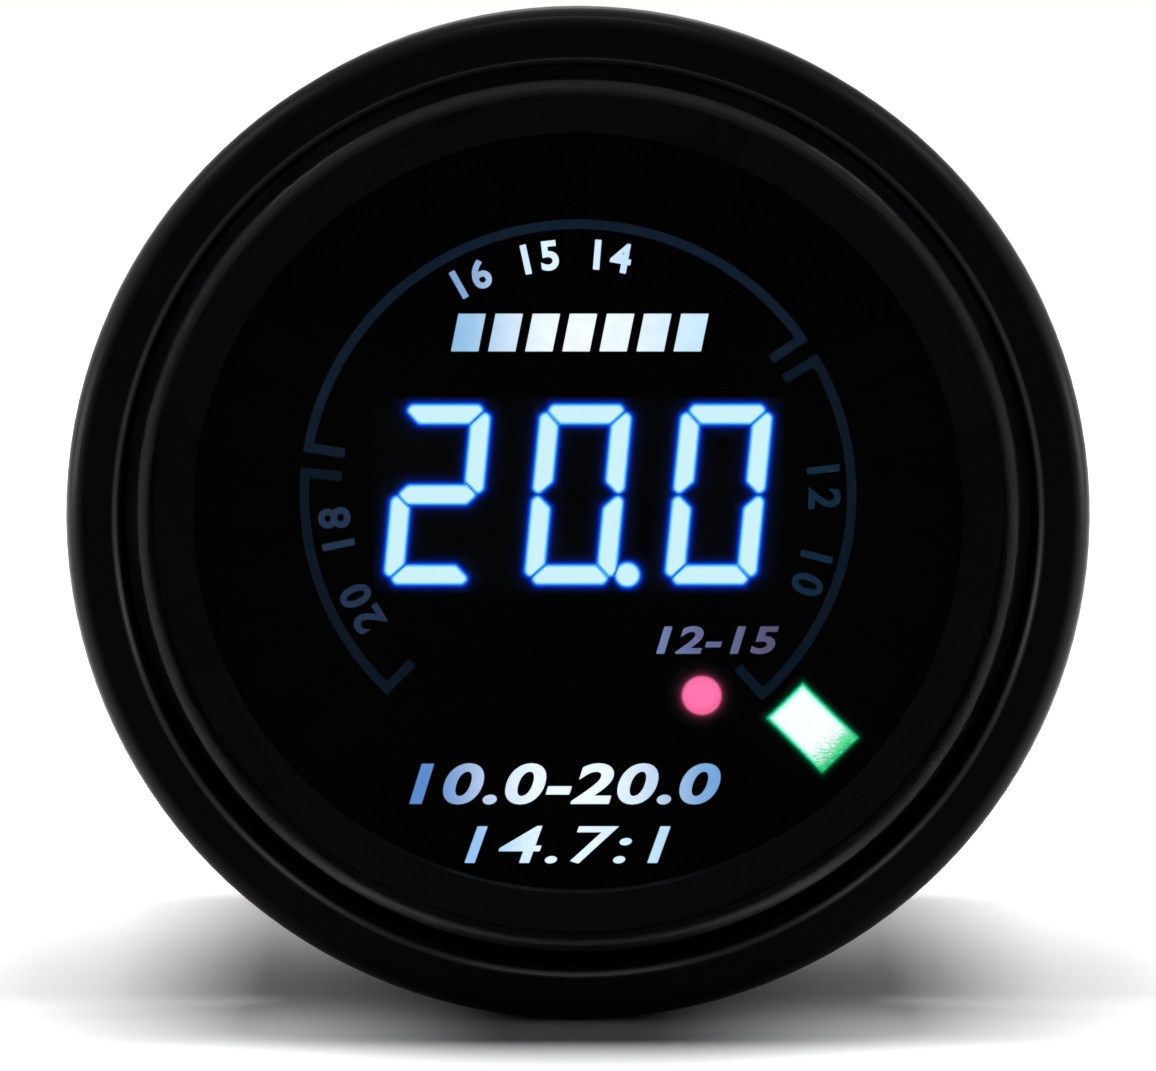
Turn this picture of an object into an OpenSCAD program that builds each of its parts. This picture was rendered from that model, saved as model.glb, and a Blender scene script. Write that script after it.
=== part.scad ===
// Air fuel ratio gauge for a round hole in a dash panel.
// The origin is the centre of the panel seat, the dial faces -Y and +Z is up.
// Inside facing(), x runs right, y up and z out of the dial towards the driver.

/* [Bezel] */
// Diameter of the collar that fills the panel hole
collar_d = 52; // [51.5:0.1:60]
// How far the bezel stands out beyond the collar
bezel_rim = 2.5; // [2.2:0.1:4]
// Height of the bezel in front of the panel
bezel_h = 6.5; // [6.2:0.1:8]
// Radius of the bezel's front outer edge
bezel_round = 1.2; // [0.4:0.1:2]
// How much narrower the bezel's side is at the panel
bezel_draft = 0.35; // [0:0.05:0.4]
// Wall of the skirt that snaps over the barrel
skirt_wall = 1; // [0.8:0.1:1.4]
// Width of the front lip, from the outside to the lens opening
lip_w = 2.95; // [2.4:0.05:3.2]
// Thickness of the front lip
lip_t = 2.25; // [1.8:0.05:2.6]
// Chamfer round the lens opening
lip_chamfer = 0.25; // [0.1:0.05:0.5]
// Gap between the bezel's back rim and the panel
rim_gap = 0.1; // [0.05:0.05:0.3]

/* [Lens] */
// How far the lens front lies below the bezel's face
lens_sink = 0.3; // [0.1:0.1:0.8]
// Thickness of the lens window
lens_t = 2; // [1.4:0.1:2.4]
// Width of the groove between the lens and the lip
lens_groove = 0.35; // [0.2:0.05:0.8]
// Radius of the lens's front edge
lens_round = 1.5; // [0.5:0.1:1.9]
// Wall of the lens's skirt
lens_skirt = 1.4; // [1:0.1:1.6]
// Clearance round the lens's foot inside the bezel
lens_fit = 0.3; // [0.1:0.05:0.5]
// Thickness of the seal under the lens
seal_t = 0.4; // [0.3:0.05:0.6]
// Width of the seal
seal_w = 1.8; // [1:0.1:2]

/* [Dial] */
// Depth of the dial face behind the lens front
dial_depth = 9.1; // [8:0.1:10]
// Thickness of the dial face
dial_t = 0.6; // [0.4:0.1:1]
// Clearance of the dial parts in the barrel
dial_fit = 0.2; // [0.1:0.05:0.3]
// Width of the visor's front plate
visor_w = 2.2; // [2:0.1:3]
// Wall of the visor's tube
visor_wall = 1.2; // [0.8:0.1:1.3]
// How much wider the visor's tube is at the dial than at the lens
visor_flare = 1.3; // [1:0.1:1.6]
// Thickness of the visor's front plate and foot
visor_t = 1; // [0.6:0.1:1.5]
// Width of dial between the bars and the visor
visor_margin = 0.35; // [0.2:0.05:0.5]

/* [Bar ring] */
// Number of bars
bar_count = 20; // [12:1:20]
// Angle of the first bar, anticlockwise from the right
bar_start = 225; // [200:5:250]
// Angle from the first bar to the last
bar_sweep = 270; // [240:5:275]
// Length of a bar
bar_l = 4.45; // [3.6:0.05:4.8]
// Width of a bar
bar_w = 2.85; // [2:0.05:3]
// Clearance round a bar in its window
bar_fit = 0.08; // [0.05:0.01:0.12]
// Thickness of the web that joins the bars
web_t = 0.6; // [0.4:0.1:1]
// Width of the web beyond the bars
web_w = 0.8; // [0.5:0.1:0.9]

/* [Display] */
// Number of digits
digit_count = 3; // [2:1:3]
// Height of a digit
digit_h = 10.16; // [9:0.01:10.4]
// Width of a digit
digit_w = 5.4; // [5:0.1:5.6]
// Distance from digit to digit
digit_pitch = 8; // [7.6:0.1:8.2]
// Slant of the digits in degrees
digit_slant = 5.5; // [0:0.5:10]
// Width of a segment
seg_t = 1.1; // [0.8:0.05:1.3]
// Gap between two segments
seg_gap = 0.18; // [0.1:0.01:0.3]
// Diameter of a decimal point
point_d = 1.2; // [0.8:0.1:1.3]
// Gap between a digit and its decimal point
point_gap = 0.15; // [0.1:0.01:0.3]
// Clearance of the light pipes in the housing
pipe_fit = 0.03; // [0.02:0.01:0.05]
// Housing above and below the digits
housing_rim = 1.42; // [1.2:0.02:1.6]
// Dial window above and below the digits
window_rim = 0.6; // [0.4:0.1:1]

/* [Light box] */
// Depth of the light box
box_depth = 7; // [6:0.1:8]
// Least wall between two light chambers
box_wall = 0.9; // [0.6:0.1:1]
// Clearance round a bar in its cell
cell_fit = 0.15; // [0.1:0.05:0.2]
// Clearance round the display in the light box
display_fit = 0.2; // [0.1:0.05:0.3]
// Height of the chamber behind the upper legend
upper_h = 4.6; // [3:0.1:4.8]
// Height of the chamber behind the lower legend
lower_h = 7; // [4:0.1:7.4]
// Height of the chamber over the indicator
volt_h = 1.9; // [1.4:0.1:2]
// Width of the chambers beside the display
side_w = 1.6; // [1.2:0.1:1.7]

/* [Lamps] */
// Length of a ring lamp
lamp_l = 3.5; // [3:0.1:3.8]
// Width of a ring lamp
lamp_w = 2.8; // [2:0.1:2.8]
// Height of a ring lamp
lamp_h = 1.9; // [1:0.1:2.2]
// Length of a legend lamp
glow_l = 1.6; // [1:0.1:1.6]
// Width of a legend lamp
glow_w = 0.8; // [0.6:0.1:1]
// Height of a legend lamp
glow_h = 0.7; // [0.5:0.1:1]
// Diameter of the indicator lamp
indicator_d = 2; // [1.6:0.1:2.2]
// Clearance of the indicator lamp in the dial
indicator_fit = 0.1; // [0.05:0.05:0.2]

/* [Boards] */
// Thickness of the display board
board_t = 1.6; // [1:0.1:2]
// Thickness of the driver board
driver_t = 1.4; // [1:0.1:2]
// Gap between the two boards
board_gap = 6.5; // [6:0.1:7]
// Width of the posts across their flats
post_af = 4; // [3.5:0.1:4.5]
// Diameter of the board screws
screw_d = 2; // [1.6:0.1:2.2]
// Diameter of the screw heads
screw_head_d = 3.4; // [3:0.1:3.6]
// Height of the screw heads
screw_head_h = 1.4; // [1:0.1:1.6]
// How deep the board screws go into the posts
screw_reach = 2.6; // [2:0.1:2.8]
// Clearance of a screw in its thread
thread_fit = 0.05; // [0.03:0.01:0.08]

/* [Barrel] */
// Length of the collar behind the panel seat
collar_l = 3; // [2:0.5:4]
// How far the barrel steps in behind the collar
collar_step = 0.3; // [0.1:0.1:0.5]
// Draft of the barrel over its length
barrel_draft = 0.4; // [0.2:0.1:0.6]
// Wall of the barrel at the collar
barrel_wall = 1.8; // [1.6:0.1:2]
// Room behind the driver board
back_room = 7; // [6.5:0.5:10]
// Thickness of the flange
flange_t = 2.2; // [2:0.1:2.4]
// Clearance of the flange in the bezel's skirt
flange_fit = 0.1; // [0.05:0.05:0.2]
// Height of the snap ridge on the flange
ridge_h = 0.4; // [0.3:0.05:0.5]
// Width of the snap ridge
ridge_w = 0.6; // [0.4:0.1:0.8]
// Clearance of the snap ridge in its groove
ridge_fit = 0.1; // [0.05:0.05:0.15]
// Number of ribs inside the barrel
rib_count = 6; // [3:3:6]
// Height of the ribs
rib_h = 1.4; // [1:0.1:1.6]
// Width of the ribs
rib_w = 1.6; // [1.2:0.1:2]

/* [Back cover] */
// Thickness of the cover
cover_t = 2.2; // [2:0.1:3]
// Radius of the cover's back edge
cover_round = 1.5; // [0.5:0.1:1.6]
// Height of the spigot inside the barrel
spigot_h = 1.8; // [1:0.1:1.9]
// Wall of the spigot
spigot_wall = 1.1; // [0.8:0.1:1.4]
// Clearance of the spigot in the barrel
spigot_fit = 0.2; // [0.1:0.05:0.3]
// Number of cover screws
cover_screws_n = 3; // [1:2:3]
// Diameter of the screw pillars in the barrel
pillar_d = 5.2; // [4.4:0.1:5.4]
// Gap between the screw pillars and the driver board
pillar_gap = 1.2; // [0.8:0.1:2]
// Diameter of the cover screws
cover_screw_d = 1.6; // [1.2:0.1:1.8]
// Diameter of the cover screws' heads
cover_head_d = 3.6; // [3:0.1:3.8]
// Depth of the cover screws' counterbores
cover_head_h = 1.2; // [0.8:0.1:1.4]
// Height of the bosses round the studs
stud_boss_h = 0.8; // [0.4:0.1:1]

/* [Power socket] */
// Width of the socket
socket_w = 13.8; // [12:0.1:14]
// Height of the socket
socket_h = 8; // [7:0.1:8]
// Wall of the socket
socket_wall = 1.1; // [0.8:0.1:1.2]
// How far the socket stands out of the cover
socket_proud = 2.8; // [2:0.1:4]
// Thickness of the socket's floor
socket_floor = 2.5; // [2:0.1:3]
// Number of pins
socket_pin_n = 4; // [2:1:4]
// Distance from pin to pin
socket_pitch = 2.8; // [2.5:0.1:3]
// Width of a pin
socket_pin_w = 0.8; // [0.6:0.1:1]
// Length of the pins inside the socket
socket_pin_l = 4; // [3:0.1:4.5]

/* [Clamp] */
// Distance between the two studs
stud_pitch = 32; // [31:0.5:33]
// Diameter of the studs
stud_d = 4; // [3.5:0.1:4.4]
// Length of the studs behind the cover
stud_l = 23.8; // [23:0.1:26]
// Width of the stud heads and lock nuts across their flats
nut_af = 7; // [6.5:0.1:7.5]
// Height of the stud heads
stud_head_h = 2.4; // [2:0.1:2.6]
// Height of the lock nuts
lock_nut_h = 2.2; // [1.8:0.1:2.6]
// Thickness of the bracket's strip
strip_t = 1; // [0.8:0.1:1.2]
// Width of the bracket's strip
strip_w = 10; // [8:0.5:10]
// Inside radius of the bracket's bends
bend_r = 2; // [1:0.1:3]
// How far the bracket's legs stand inside the bezel's edge
leg_inset = 0.6; // [0.2:0.05:0.65]
// Panel thickness that the bracket clamps when the gauge is at rest
panel_t = 3; // [2.5:0.1:4]
// Gap between the lock nuts and the bracket
bridge_gap = 3; // [2.5:0.1:4]
// Clearance of the bracket's holes round the studs
hole_fit = 0.3; // [0.2:0.1:0.5]
// Thickness of the washers
washer_t = 0.8; // [0.6:0.1:1.2]
// Outside diameter of the washers
washer_d = 7.4; // [7:0.1:9]
// Diameter of the thumb nuts
thumb_d = 11; // [10:0.5:12]
// Height of the thumb nuts
thumb_h = 6.5; // [6:0.1:7]
// Diameter of the thumb nuts' necks
thumb_neck_d = 8; // [7.5:0.1:9]
// Height of the thumb nuts' necks
thumb_neck_h = 1.5; // [1:0.1:2]
// Number of knurls round a thumb nut
knurl_count = 24; // [16:1:28]
// Depth of the knurls
knurl_depth = 0.35; // [0.2:0.05:0.4]
// Running clearance of a nut on its stud
nut_fit = 0.05; // [0.03:0.01:0.08]

/* [Hidden] */
$fn = 96;
// Overrun of every cut past the face that it opens
cut = 0.5;
// How far a rib or pillar reaches into the wall that carries it
root = 0.4;

// Sides of a nut
hex_sides = 6;

// Bezel and lens, from the outside in
collar_r = collar_d / 2;
bezel_r = collar_r + bezel_rim;
skirt_r = bezel_r - skirt_wall;
lip_r = bezel_r - lip_w;
lip_back_z = bezel_h - lip_t;
lens_r = lip_r - lens_groove;
lens_front_z = bezel_h - lens_sink;
lens_back_z = lens_front_z - lens_t;
lens_skirt_r = lens_r - lens_skirt;
lens_foot_r = skirt_r - lens_fit;
visor_plate_r = lens_skirt_r - dial_fit / 2;
flange_r = skirt_r - flange_fit;
ridge_r = flange_r + ridge_h;
ridge_z = (flange_t - ridge_w) / 2;

// Barrel
bore_r = collar_r - barrel_wall;
barrel_r = collar_r - collar_step;
barrel_end_r = barrel_r - barrel_draft;
seal_r = (bore_r + flange_r + root) / 2;

// Stack of the dial, from the front to the back
dial_front_z = lens_front_z - dial_depth;
dial_back_z = dial_front_z - dial_t;
web_back_z = dial_back_z - web_t;
board_front_z = dial_back_z - box_depth;
board_back_z = board_front_z - board_t;
driver_front_z = board_back_z - board_gap;
driver_back_z = driver_front_z - driver_t;
cover_front_z = driver_back_z - back_room;
cover_back_z = cover_front_z - cover_t;
boss_back_z = cover_back_z - stud_boss_h;
dial_r = bore_r - dial_fit;
driver_r = bore_r - rib_h - 4 * dial_fit;

// Bars and their cells
bar_pitch = bar_sweep / (bar_count - 1);
visor_r = visor_plate_r - visor_w;
visor_foot_r = visor_r + visor_flare;
bar_end_r = visor_r - visor_margin;
bar_r = bar_end_r - bar_l;
web_r = bar_r - web_w;
web_end_r = bar_end_r + web_w;
lamp_spot_r = (bar_r + bar_end_r) / 2;
cell_r = bar_r - cell_fit;

// Display
housing_side = digit_w / 10;
housing_w = digit_count * digit_pitch + 2 * housing_side;
housing_h = digit_h + 2 * housing_rim;
window_w = digit_count * digit_pitch - housing_side;
window_h = digit_h + 2 * window_rim;
slab_t = board_t * 0.7;
slab_gap = board_t * 0.2;
slab_back_z = board_front_z + slab_gap;
slab_front_z = slab_back_z + slab_t;
slab_w = digit_pitch - 2 * seg_gap;
slab_h = digit_h + seg_t;
pipe_front_z = dial_back_z - pipe_fit;
pin_d = screw_d / 4;
pin_pitch = 2.54;
pin_columns = 6;
pin_row_y = digit_h / 2;
pin_tail = board_t;
via_fit = pin_d * 0.3;

// Chambers behind the legends: each has a centre and a size
upper_w = bar_r;
upper_y = housing_h / 2 + display_fit + box_wall + upper_h / 2;
lower_w = bar_r * 0.64;
lower_y = -(bar_r + bar_end_r) / 2 + box_wall;
volt_w = bar_r / 2;
volt_x = bar_r * 0.46;
volt_y = -(housing_h / 2 + display_fit + box_wall + volt_h / 2);
side_h = housing_h * 0.42;
side_x = housing_w / 2 + display_fit + box_wall + side_w / 2;
side_y = -digit_h / 4;

// Indicator lamp
indicator_x = lamp_spot_r * 0.373;
indicator_y = -lamp_spot_r * 0.608;
indicator_r = indicator_d / 2;
indicator_hole_r = indicator_r + indicator_fit;
indicator_base_r = indicator_r * 1.12;
indicator_base_h = indicator_r * 0.6;

// Posts, as shares of the bore's radius
post_shares = [[0, 0.54], [-0.4, -0.66], [0.4, -0.66]];
screw_r = screw_d / 2;
screw_head_r = screw_head_d / 2;
post_bore_r = screw_r + thread_fit;
board_hole_r = screw_r + 3 * thread_fit;
slot_w = screw_head_d / 5;
slot_depth = screw_head_h / 3;

// Parts on the driver board, as shares of its radius
chip_shares = [0, -0.12];
regulator_shares = [0.5, 0.24];
capacitor_shares = [[-0.46, 0.45], [-0.46, 0.16]];
chip_w = 9;
chip_h = 1.4;
chip_leads = 8;
chip_lead_w = 0.35;
chip_lead_t = 0.2;
chip_lead_l = 1;
regulator_w = 6.5;
regulator_l = 6.1;
regulator_h = 2.3;
regulator_tab_l = 1.2;
regulator_tab_t = 0.5;
capacitor_d = 5;
capacitor_h = 4.2;
capacitor_foot_t = 0.6;
capacitor_foot_w = 5.4;
header_y = pin_row_y + pin_pitch * 1.35;
header_t = pin_pitch;
header_pin_r = pin_d * 0.6;

// Cover and its screws
pillar_r = pillar_d / 2;
pillar_spot_r = bore_r - pillar_r + root / 2;
pillar_front_z = driver_back_z - pillar_gap;
cover_screw_r = cover_screw_d / 2;
cover_screw_l = (back_room - pillar_gap) * 0.75;
cover_head_r = cover_head_d / 2;
cover_hole_r = cover_screw_r + 3 * thread_fit;
spigot_r = bore_r - spigot_fit;
rib_back_z = cover_front_z + spigot_h + spigot_fit;
stud_boss_r = nut_af * 0.66;

// Socket
socket_y = -(driver_r + housing_h / 2) / 2;
socket_front_z = driver_back_z;
socket_back_z = cover_back_z - socket_proud;
socket_pin_tail = driver_t;
socket_key_w = socket_w / 5;
socket_key_t = socket_wall / 2;

// Clamp
stud_r = stud_d / 2;
stud_end_z = cover_back_z - stud_l;
lock_back_z = boss_back_z - lock_nut_h;
bridge_front_z = lock_back_z - bridge_gap;
bridge_back_z = bridge_front_z - strip_t;
washer_back_z = bridge_back_z - washer_t;
leg_x = bezel_r - leg_inset - strip_t;
nut_bore_r = stud_r + nut_fit;
thumb_r = thumb_d / 2;

// Turns a child drawn towards the driver into the row's frame
module facing() {
    rotate([90, 0, 0]) children();
}

// Solid or hollow disc between two depths
module disc(z_back, z_front, r_out, r_in = 0) {
    translate([0, 0, z_back])
    difference() {
        cylinder(r = r_out, h = z_front - z_back);
        if (r_in > 0) {
            translate([0, 0, -cut]) cylinder(r = r_in, h = z_front - z_back + 2 * cut);
        }
    }
}

// Block centred at x, y between two depths
module block(x, y, w, h, z_back, z_front) {
    translate([x - w / 2, y - h / 2, z_back]) cube([w, h, z_front - z_back]);
}

// Round shaft at x, y between two depths
module shaft(x, y, r, z_back, z_front) {
    translate([x, y, z_back]) cylinder(r = r, h = z_front - z_back);
}

// Hexagonal shaft of a given width across its flats
module hex_shaft(x, y, af, z_back, z_front) {
    translate([x, y, z_back])
    cylinder(r = af / 2 / cos(180 / hex_sides), h = z_front - z_back, $fn = hex_sides);
}

// Quarter of a round edge, as points from the side to the face
function edge_arc(x, y, r, steps = 12) =
    [for (i = [0:steps]) [x - r + r * cos(90 * i / steps), y - r + r * sin(90 * i / steps)]];

// Places each child radially at every bar of the ring
module at_bars() {
    for (i = [0:bar_count - 1]) {
        at_bar(i) children();
    }
}

module at_bar(i) {
    rotate(bar_start - i * bar_pitch) children();
}

module at_posts() {
    for (share = post_shares) {
        translate(bore_r * share) children();
    }
}

module at_cover_screws() {
    for (i = [0:cover_screws_n - 1]) {
        rotate(90 + i * 360 / cover_screws_n) translate([pillar_spot_r, 0]) children();
    }
}

module at_studs() {
    for (side = [-1, 1]) {
        translate([side * stud_pitch / 2, 0]) children();
    }
}

// Ring whose lip holds the lens and whose skirt snaps over the barrel's flange
module bezel_ring() {
    groove_back_z = ridge_z - ridge_fit;
    groove_front_z = ridge_z + ridge_w + ridge_fit;
    groove_r = ridge_r + ridge_fit;
    outline = concat(
        [[skirt_r, rim_gap], [bezel_r - bezel_draft, rim_gap]],
        edge_arc(bezel_r, bezel_h, bezel_round),
        [[lip_r + lip_chamfer, bezel_h], [lip_r, bezel_h - lip_chamfer]],
        [[lip_r, lip_back_z], [skirt_r, lip_back_z]],
        [[skirt_r, groove_front_z], [groove_r, groove_front_z]],
        [[groove_r, groove_back_z], [skirt_r, groove_back_z]]
    );
    color([0.03, 0.03, 0.03]) facing() rotate_extrude() polygon(outline);
}

// Smoked cap: a window with a round edge on a skirt with a foot
module lens() {
    foot_back_z = flange_t + seal_t;
    outline = concat(
        [[0, lens_back_z], [lens_skirt_r, lens_back_z], [lens_skirt_r, foot_back_z]],
        [[lens_foot_r, foot_back_z], [lens_foot_r, lip_back_z], [lens_r, lip_back_z]],
        edge_arc(lens_r, lens_front_z, lens_round),
        [[0, lens_front_z]]
    );
    color([0.08, 0.08, 0.09]) facing() rotate_extrude() polygon(outline);
}

module lens_seal() {
    color([0.1, 0.1, 0.1])
    facing() disc(flange_t, flange_t + seal_t, seal_r + seal_w / 2, seal_r - seal_w / 2);
}

// Tube that shades the dial and presses it onto the light box
module visor_ring() {
    outline = [
        [visor_foot_r, dial_front_z], [dial_r, dial_front_z], [dial_r, dial_front_z + visor_t],
        [visor_foot_r + visor_wall, dial_front_z + visor_t],
        [visor_r + visor_wall, lens_back_z - visor_t],
        [visor_plate_r, lens_back_z - visor_t], [visor_plate_r, lens_back_z],
        [visor_r, lens_back_z]
    ];
    color([0.04, 0.04, 0.04]) facing() rotate_extrude() polygon(outline);
}

// Bar pointing outwards, as cut or drawn between two depths
module bar(z_back, z_front, fit) {
    translate([bar_r - fit, -bar_w / 2 - fit, z_back])
    cube([bar_l + 2 * fit, bar_w + 2 * fit, z_front - z_back]);
}

module dial_face() {
    color([0.02, 0.02, 0.02])
    facing()
    difference() {
        disc(dial_back_z, dial_front_z, dial_r);
        at_bars() bar(dial_back_z - cut, dial_front_z + cut, bar_fit);
        block(0, 0, window_w, window_h, dial_back_z - cut, dial_front_z + cut);
        shaft(indicator_x, indicator_y, indicator_hole_r, dial_back_z - cut, dial_front_z + cut);
    }
}

// One clear moulding: a web with a raised bar behind each window
module light_guide() {
    color([0.75, 0.85, 0.82])
    facing() {
        disc(web_back_z, dial_back_z, web_end_r, web_r);
        at_bars() bar(dial_back_z - web_t / 2, dial_front_z - bar_fit, 0);
    }
}

// Chambers behind the legends, as centre and size
chambers = [
    [0, upper_y, upper_w, upper_h], [0, lower_y, lower_w, lower_h],
    [volt_x, volt_y, volt_w, volt_h],
    [-side_x, side_y, side_w, side_h], [side_x, side_y, side_w, side_h]
];

// White moulding whose cells keep the light of each lamp apart
module light_box() {
    groove_fit = dial_fit / 2;
    head_room_z = board_front_z + screw_head_h + 2 * thread_fit;
    color([0.85, 0.85, 0.83])
    facing()
    difference() {
        disc(board_front_z, dial_back_z, dial_r - dial_fit / 2);
        disc(web_back_z, dial_back_z + cut, web_end_r + groove_fit, web_r - groove_fit);
        at_bars() bar(board_front_z - cut, dial_back_z, cell_fit);
        block(0, 0, housing_w + 2 * display_fit, housing_h + 2 * display_fit,
            board_front_z - cut, dial_back_z + cut);
        for (c = chambers) {
            block(c[0], c[1], c[2], c[3], board_front_z - cut, dial_back_z + cut);
        }
        shaft(indicator_x, indicator_y, indicator_base_r + indicator_fit,
            board_front_z - cut, dial_back_z + cut);
        at_posts() disc(board_front_z - cut, head_room_z, screw_head_r + 3 * thread_fit);
    }
}

// Point of a digit, slanted about the digit's centre
function slanted(p) = [p[0] + p[1] * tan(digit_slant), p[1]];

// The outer corner of the segments' centre lines, and half a segment
seg_x = (digit_w - seg_t) / 2;
seg_y = (digit_h - seg_t) / 2;
seg_half = seg_t / 2;
seg_mitre = seg_gap / sqrt(2);
seg_nose = seg_t / 4;

// Segment along the top: long outside, mitred at 45 degrees to its neighbours
function top_segment() = [
    [-seg_x - seg_half + seg_mitre + seg_nose, seg_y + seg_half],
    [seg_x + seg_half - seg_mitre - seg_nose, seg_y + seg_half],
    [seg_x + seg_half - seg_mitre - seg_nose / 2, seg_y + seg_half - seg_nose / 2],
    [seg_x - seg_half - seg_mitre, seg_y - seg_half],
    [-seg_x + seg_half + seg_mitre, seg_y - seg_half],
    [-seg_x - seg_half + seg_mitre + seg_nose / 2, seg_y + seg_half - seg_nose / 2]
];

// Segment up the right of the upper half
function side_segment() = [
    [seg_x + seg_half, seg_gap / 2],
    [seg_x + seg_half, seg_y + seg_half - seg_mitre - seg_nose],
    [seg_x + seg_half - seg_nose / 2, seg_y + seg_half - seg_mitre - seg_nose / 2],
    [seg_x - seg_half, seg_y - seg_half - seg_mitre],
    [seg_x - seg_half, seg_half + seg_mitre],
    [seg_x, seg_gap / 2]
];

// Segment across the middle, pointed at both ends
function middle_segment() = [
    [-seg_x + seg_mitre, 0], [-seg_x + seg_mitre + seg_half, seg_half],
    [seg_x - seg_mitre - seg_half, seg_half], [seg_x - seg_mitre, 0],
    [seg_x - seg_mitre - seg_half, -seg_half], [-seg_x + seg_mitre + seg_half, -seg_half]
];

function flipped(points, sx, sy) = [for (p = points) [sx * p[0], sy * p[1]]];

// The seven segments of a digit
function segments() = [
    top_segment(), side_segment(), flipped(side_segment(), 1, -1),
    flipped(top_segment(), 1, -1), flipped(side_segment(), -1, -1),
    flipped(side_segment(), -1, 1), middle_segment()
];

function digit_x(i) = (i - (digit_count + 1) / 2) * digit_pitch;

// The segments and the point of one digit, between two depths
module digit_pipes(z_back, z_front) {
    point_y = -seg_y;
    point_x = slanted([seg_x + seg_half, point_y])[0] + point_gap + point_d / 2;
    for (segment = segments()) {
        translate([0, 0, z_back])
        linear_extrude(z_front - z_back) polygon([for (p = segment) slanted(p)]);
    }
    shaft(point_x, point_y, point_d / 2, z_back, z_front);
}

// Cup of the display: its pipes' slots open to the front, its recess to the back
module display_housing() {
    recess_w = digit_count * digit_pitch;
    color([0.12, 0.12, 0.13])
    facing()
    difference() {
        block(0, 0, housing_w, housing_h, board_front_z, dial_back_z);
        block(0, 0, recess_w, slab_h + seg_t, board_front_z - cut, slab_front_z);
        for (i = [1:digit_count]) {
            translate([digit_x(i), 0]) digit_pipes(slab_front_z - cut, dial_back_z + cut);
        }
    }
}

// Light pipes of one digit on their slab, a hair smaller than their slots
module display_digit(i) {
    color([0.8, 0.93, 0.96])
    facing()
    translate([digit_x(i), 0]) {
        block(0, 0, slab_w, slab_h, slab_back_z, slab_front_z);
        digit_pipes(slab_front_z - slab_t / 2, pipe_front_z);
    }
}

module display_pins() {
    color([0.8, 0.8, 0.78])
    facing()
    for (column = [0:pin_columns - 1], side = [-1, 1]) {
        shaft((column - (pin_columns - 1) / 2) * pin_pitch, side * pin_row_y, pin_d / 2,
            board_back_z - pin_tail, slab_back_z);
    }
}

module via(x, y, r, z_back, z_front) {
    shaft(x, y, r, z_back - cut, z_front + cut);
}

module display_board() {
    color([0.1, 0.25, 0.15])
    facing()
    difference() {
        disc(board_back_z, board_front_z, dial_r);
        at_posts() via(0, 0, board_hole_r, board_back_z, board_front_z);
        for (column = [0:pin_columns - 1]) {
            x = (column - (pin_columns - 1) / 2) * pin_pitch;
            via(x, pin_row_y, pin_d / 2 + via_fit, board_back_z, board_front_z);
            via(x, -pin_row_y, pin_d / 2 + via_fit, board_back_z, board_front_z);
            via(x, header_y, header_pin_r + via_fit, board_back_z, board_front_z);
        }
    }
}

module ring_lamp(i) {
    color([0.9, 0.9, 0.8])
    facing()
    at_bar(i - 1) block(lamp_spot_r, 0, lamp_l, lamp_w, board_front_z, board_front_z + lamp_h);
}

module legend_lamp(x, y) {
    block(x, y, glow_l, glow_w, board_front_z, board_front_z + glow_h);
}

module legend_lamps() {
    color([0.9, 0.9, 0.8])
    facing() {
        legend_lamp(-upper_w / 4, upper_y);
        legend_lamp(upper_w / 4, upper_y);
        legend_lamp(-lower_w / 4, lower_y);
        legend_lamp(lower_w / 4, lower_y);
        legend_lamp(volt_x + volt_w / 4, volt_y);
        translate([-side_x, side_y]) rotate(90) legend_lamp(0, 0);
        translate([side_x, side_y]) rotate(90) legend_lamp(0, 0);
    }
}

// Round lamp with a domed end, standing in the dial's hole
module indicator_lamp() {
    dome_z = dial_front_z - indicator_r;
    color([0.98, 0.55, 0.75])
    facing()
    translate([indicator_x, indicator_y]) {
        disc(board_front_z, board_front_z + indicator_base_h, indicator_base_r);
        disc(board_front_z, dome_z, indicator_r);
        translate([0, 0, dome_z]) sphere(r = indicator_r);
    }
}

// Hexagonal post between the two boards
module post(i) {
    color([0.75, 0.6, 0.3])
    facing()
    translate(bore_r * post_shares[i - 1])
    difference() {
        hex_shaft(0, 0, post_af, driver_front_z, board_back_z);
        via(0, 0, post_bore_r, driver_front_z, board_back_z);
    }
}

// Screw with a round head and a slot, whose head rests at z and whose shank runs back
module screw(r, shank_l, head_r, head_h) {
    difference() {
        union() {
            cylinder(r = head_r, h = head_h);
            translate([0, 0, -shank_l]) cylinder(r = r, h = shank_l + head_h / 2);
        }
        translate([-head_r, -slot_w / 2, head_h - slot_depth])
        cube([2 * head_r, slot_w, slot_depth + cut]);
    }
}

// Screws that hold the display board and the driver board to the posts
module board_screws() {
    color([0.7, 0.7, 0.7])
    facing()
    at_posts() {
        translate([0, 0, board_front_z])
        screw(screw_r, board_t + screw_reach, screw_head_r, screw_head_h);
        translate([0, 0, driver_back_z]) mirror([0, 0, 1])
        screw(screw_r, driver_t + screw_reach, screw_head_r, screw_head_h);
    }
}

module driver_board() {
    color([0.1, 0.25, 0.15])
    facing()
    difference() {
        disc(driver_back_z, driver_front_z, driver_r);
        at_posts() via(0, 0, board_hole_r, driver_back_z, driver_front_z);
        for (column = [0:pin_columns - 1]) {
            via((column - (pin_columns - 1) / 2) * pin_pitch, header_y,
                header_pin_r + via_fit, driver_back_z, driver_front_z);
        }
        for (x = socket_pin_x()) {
            via(x, socket_y, socket_pin_w * 0.75, driver_back_z, driver_front_z);
        }
    }
}

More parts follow.
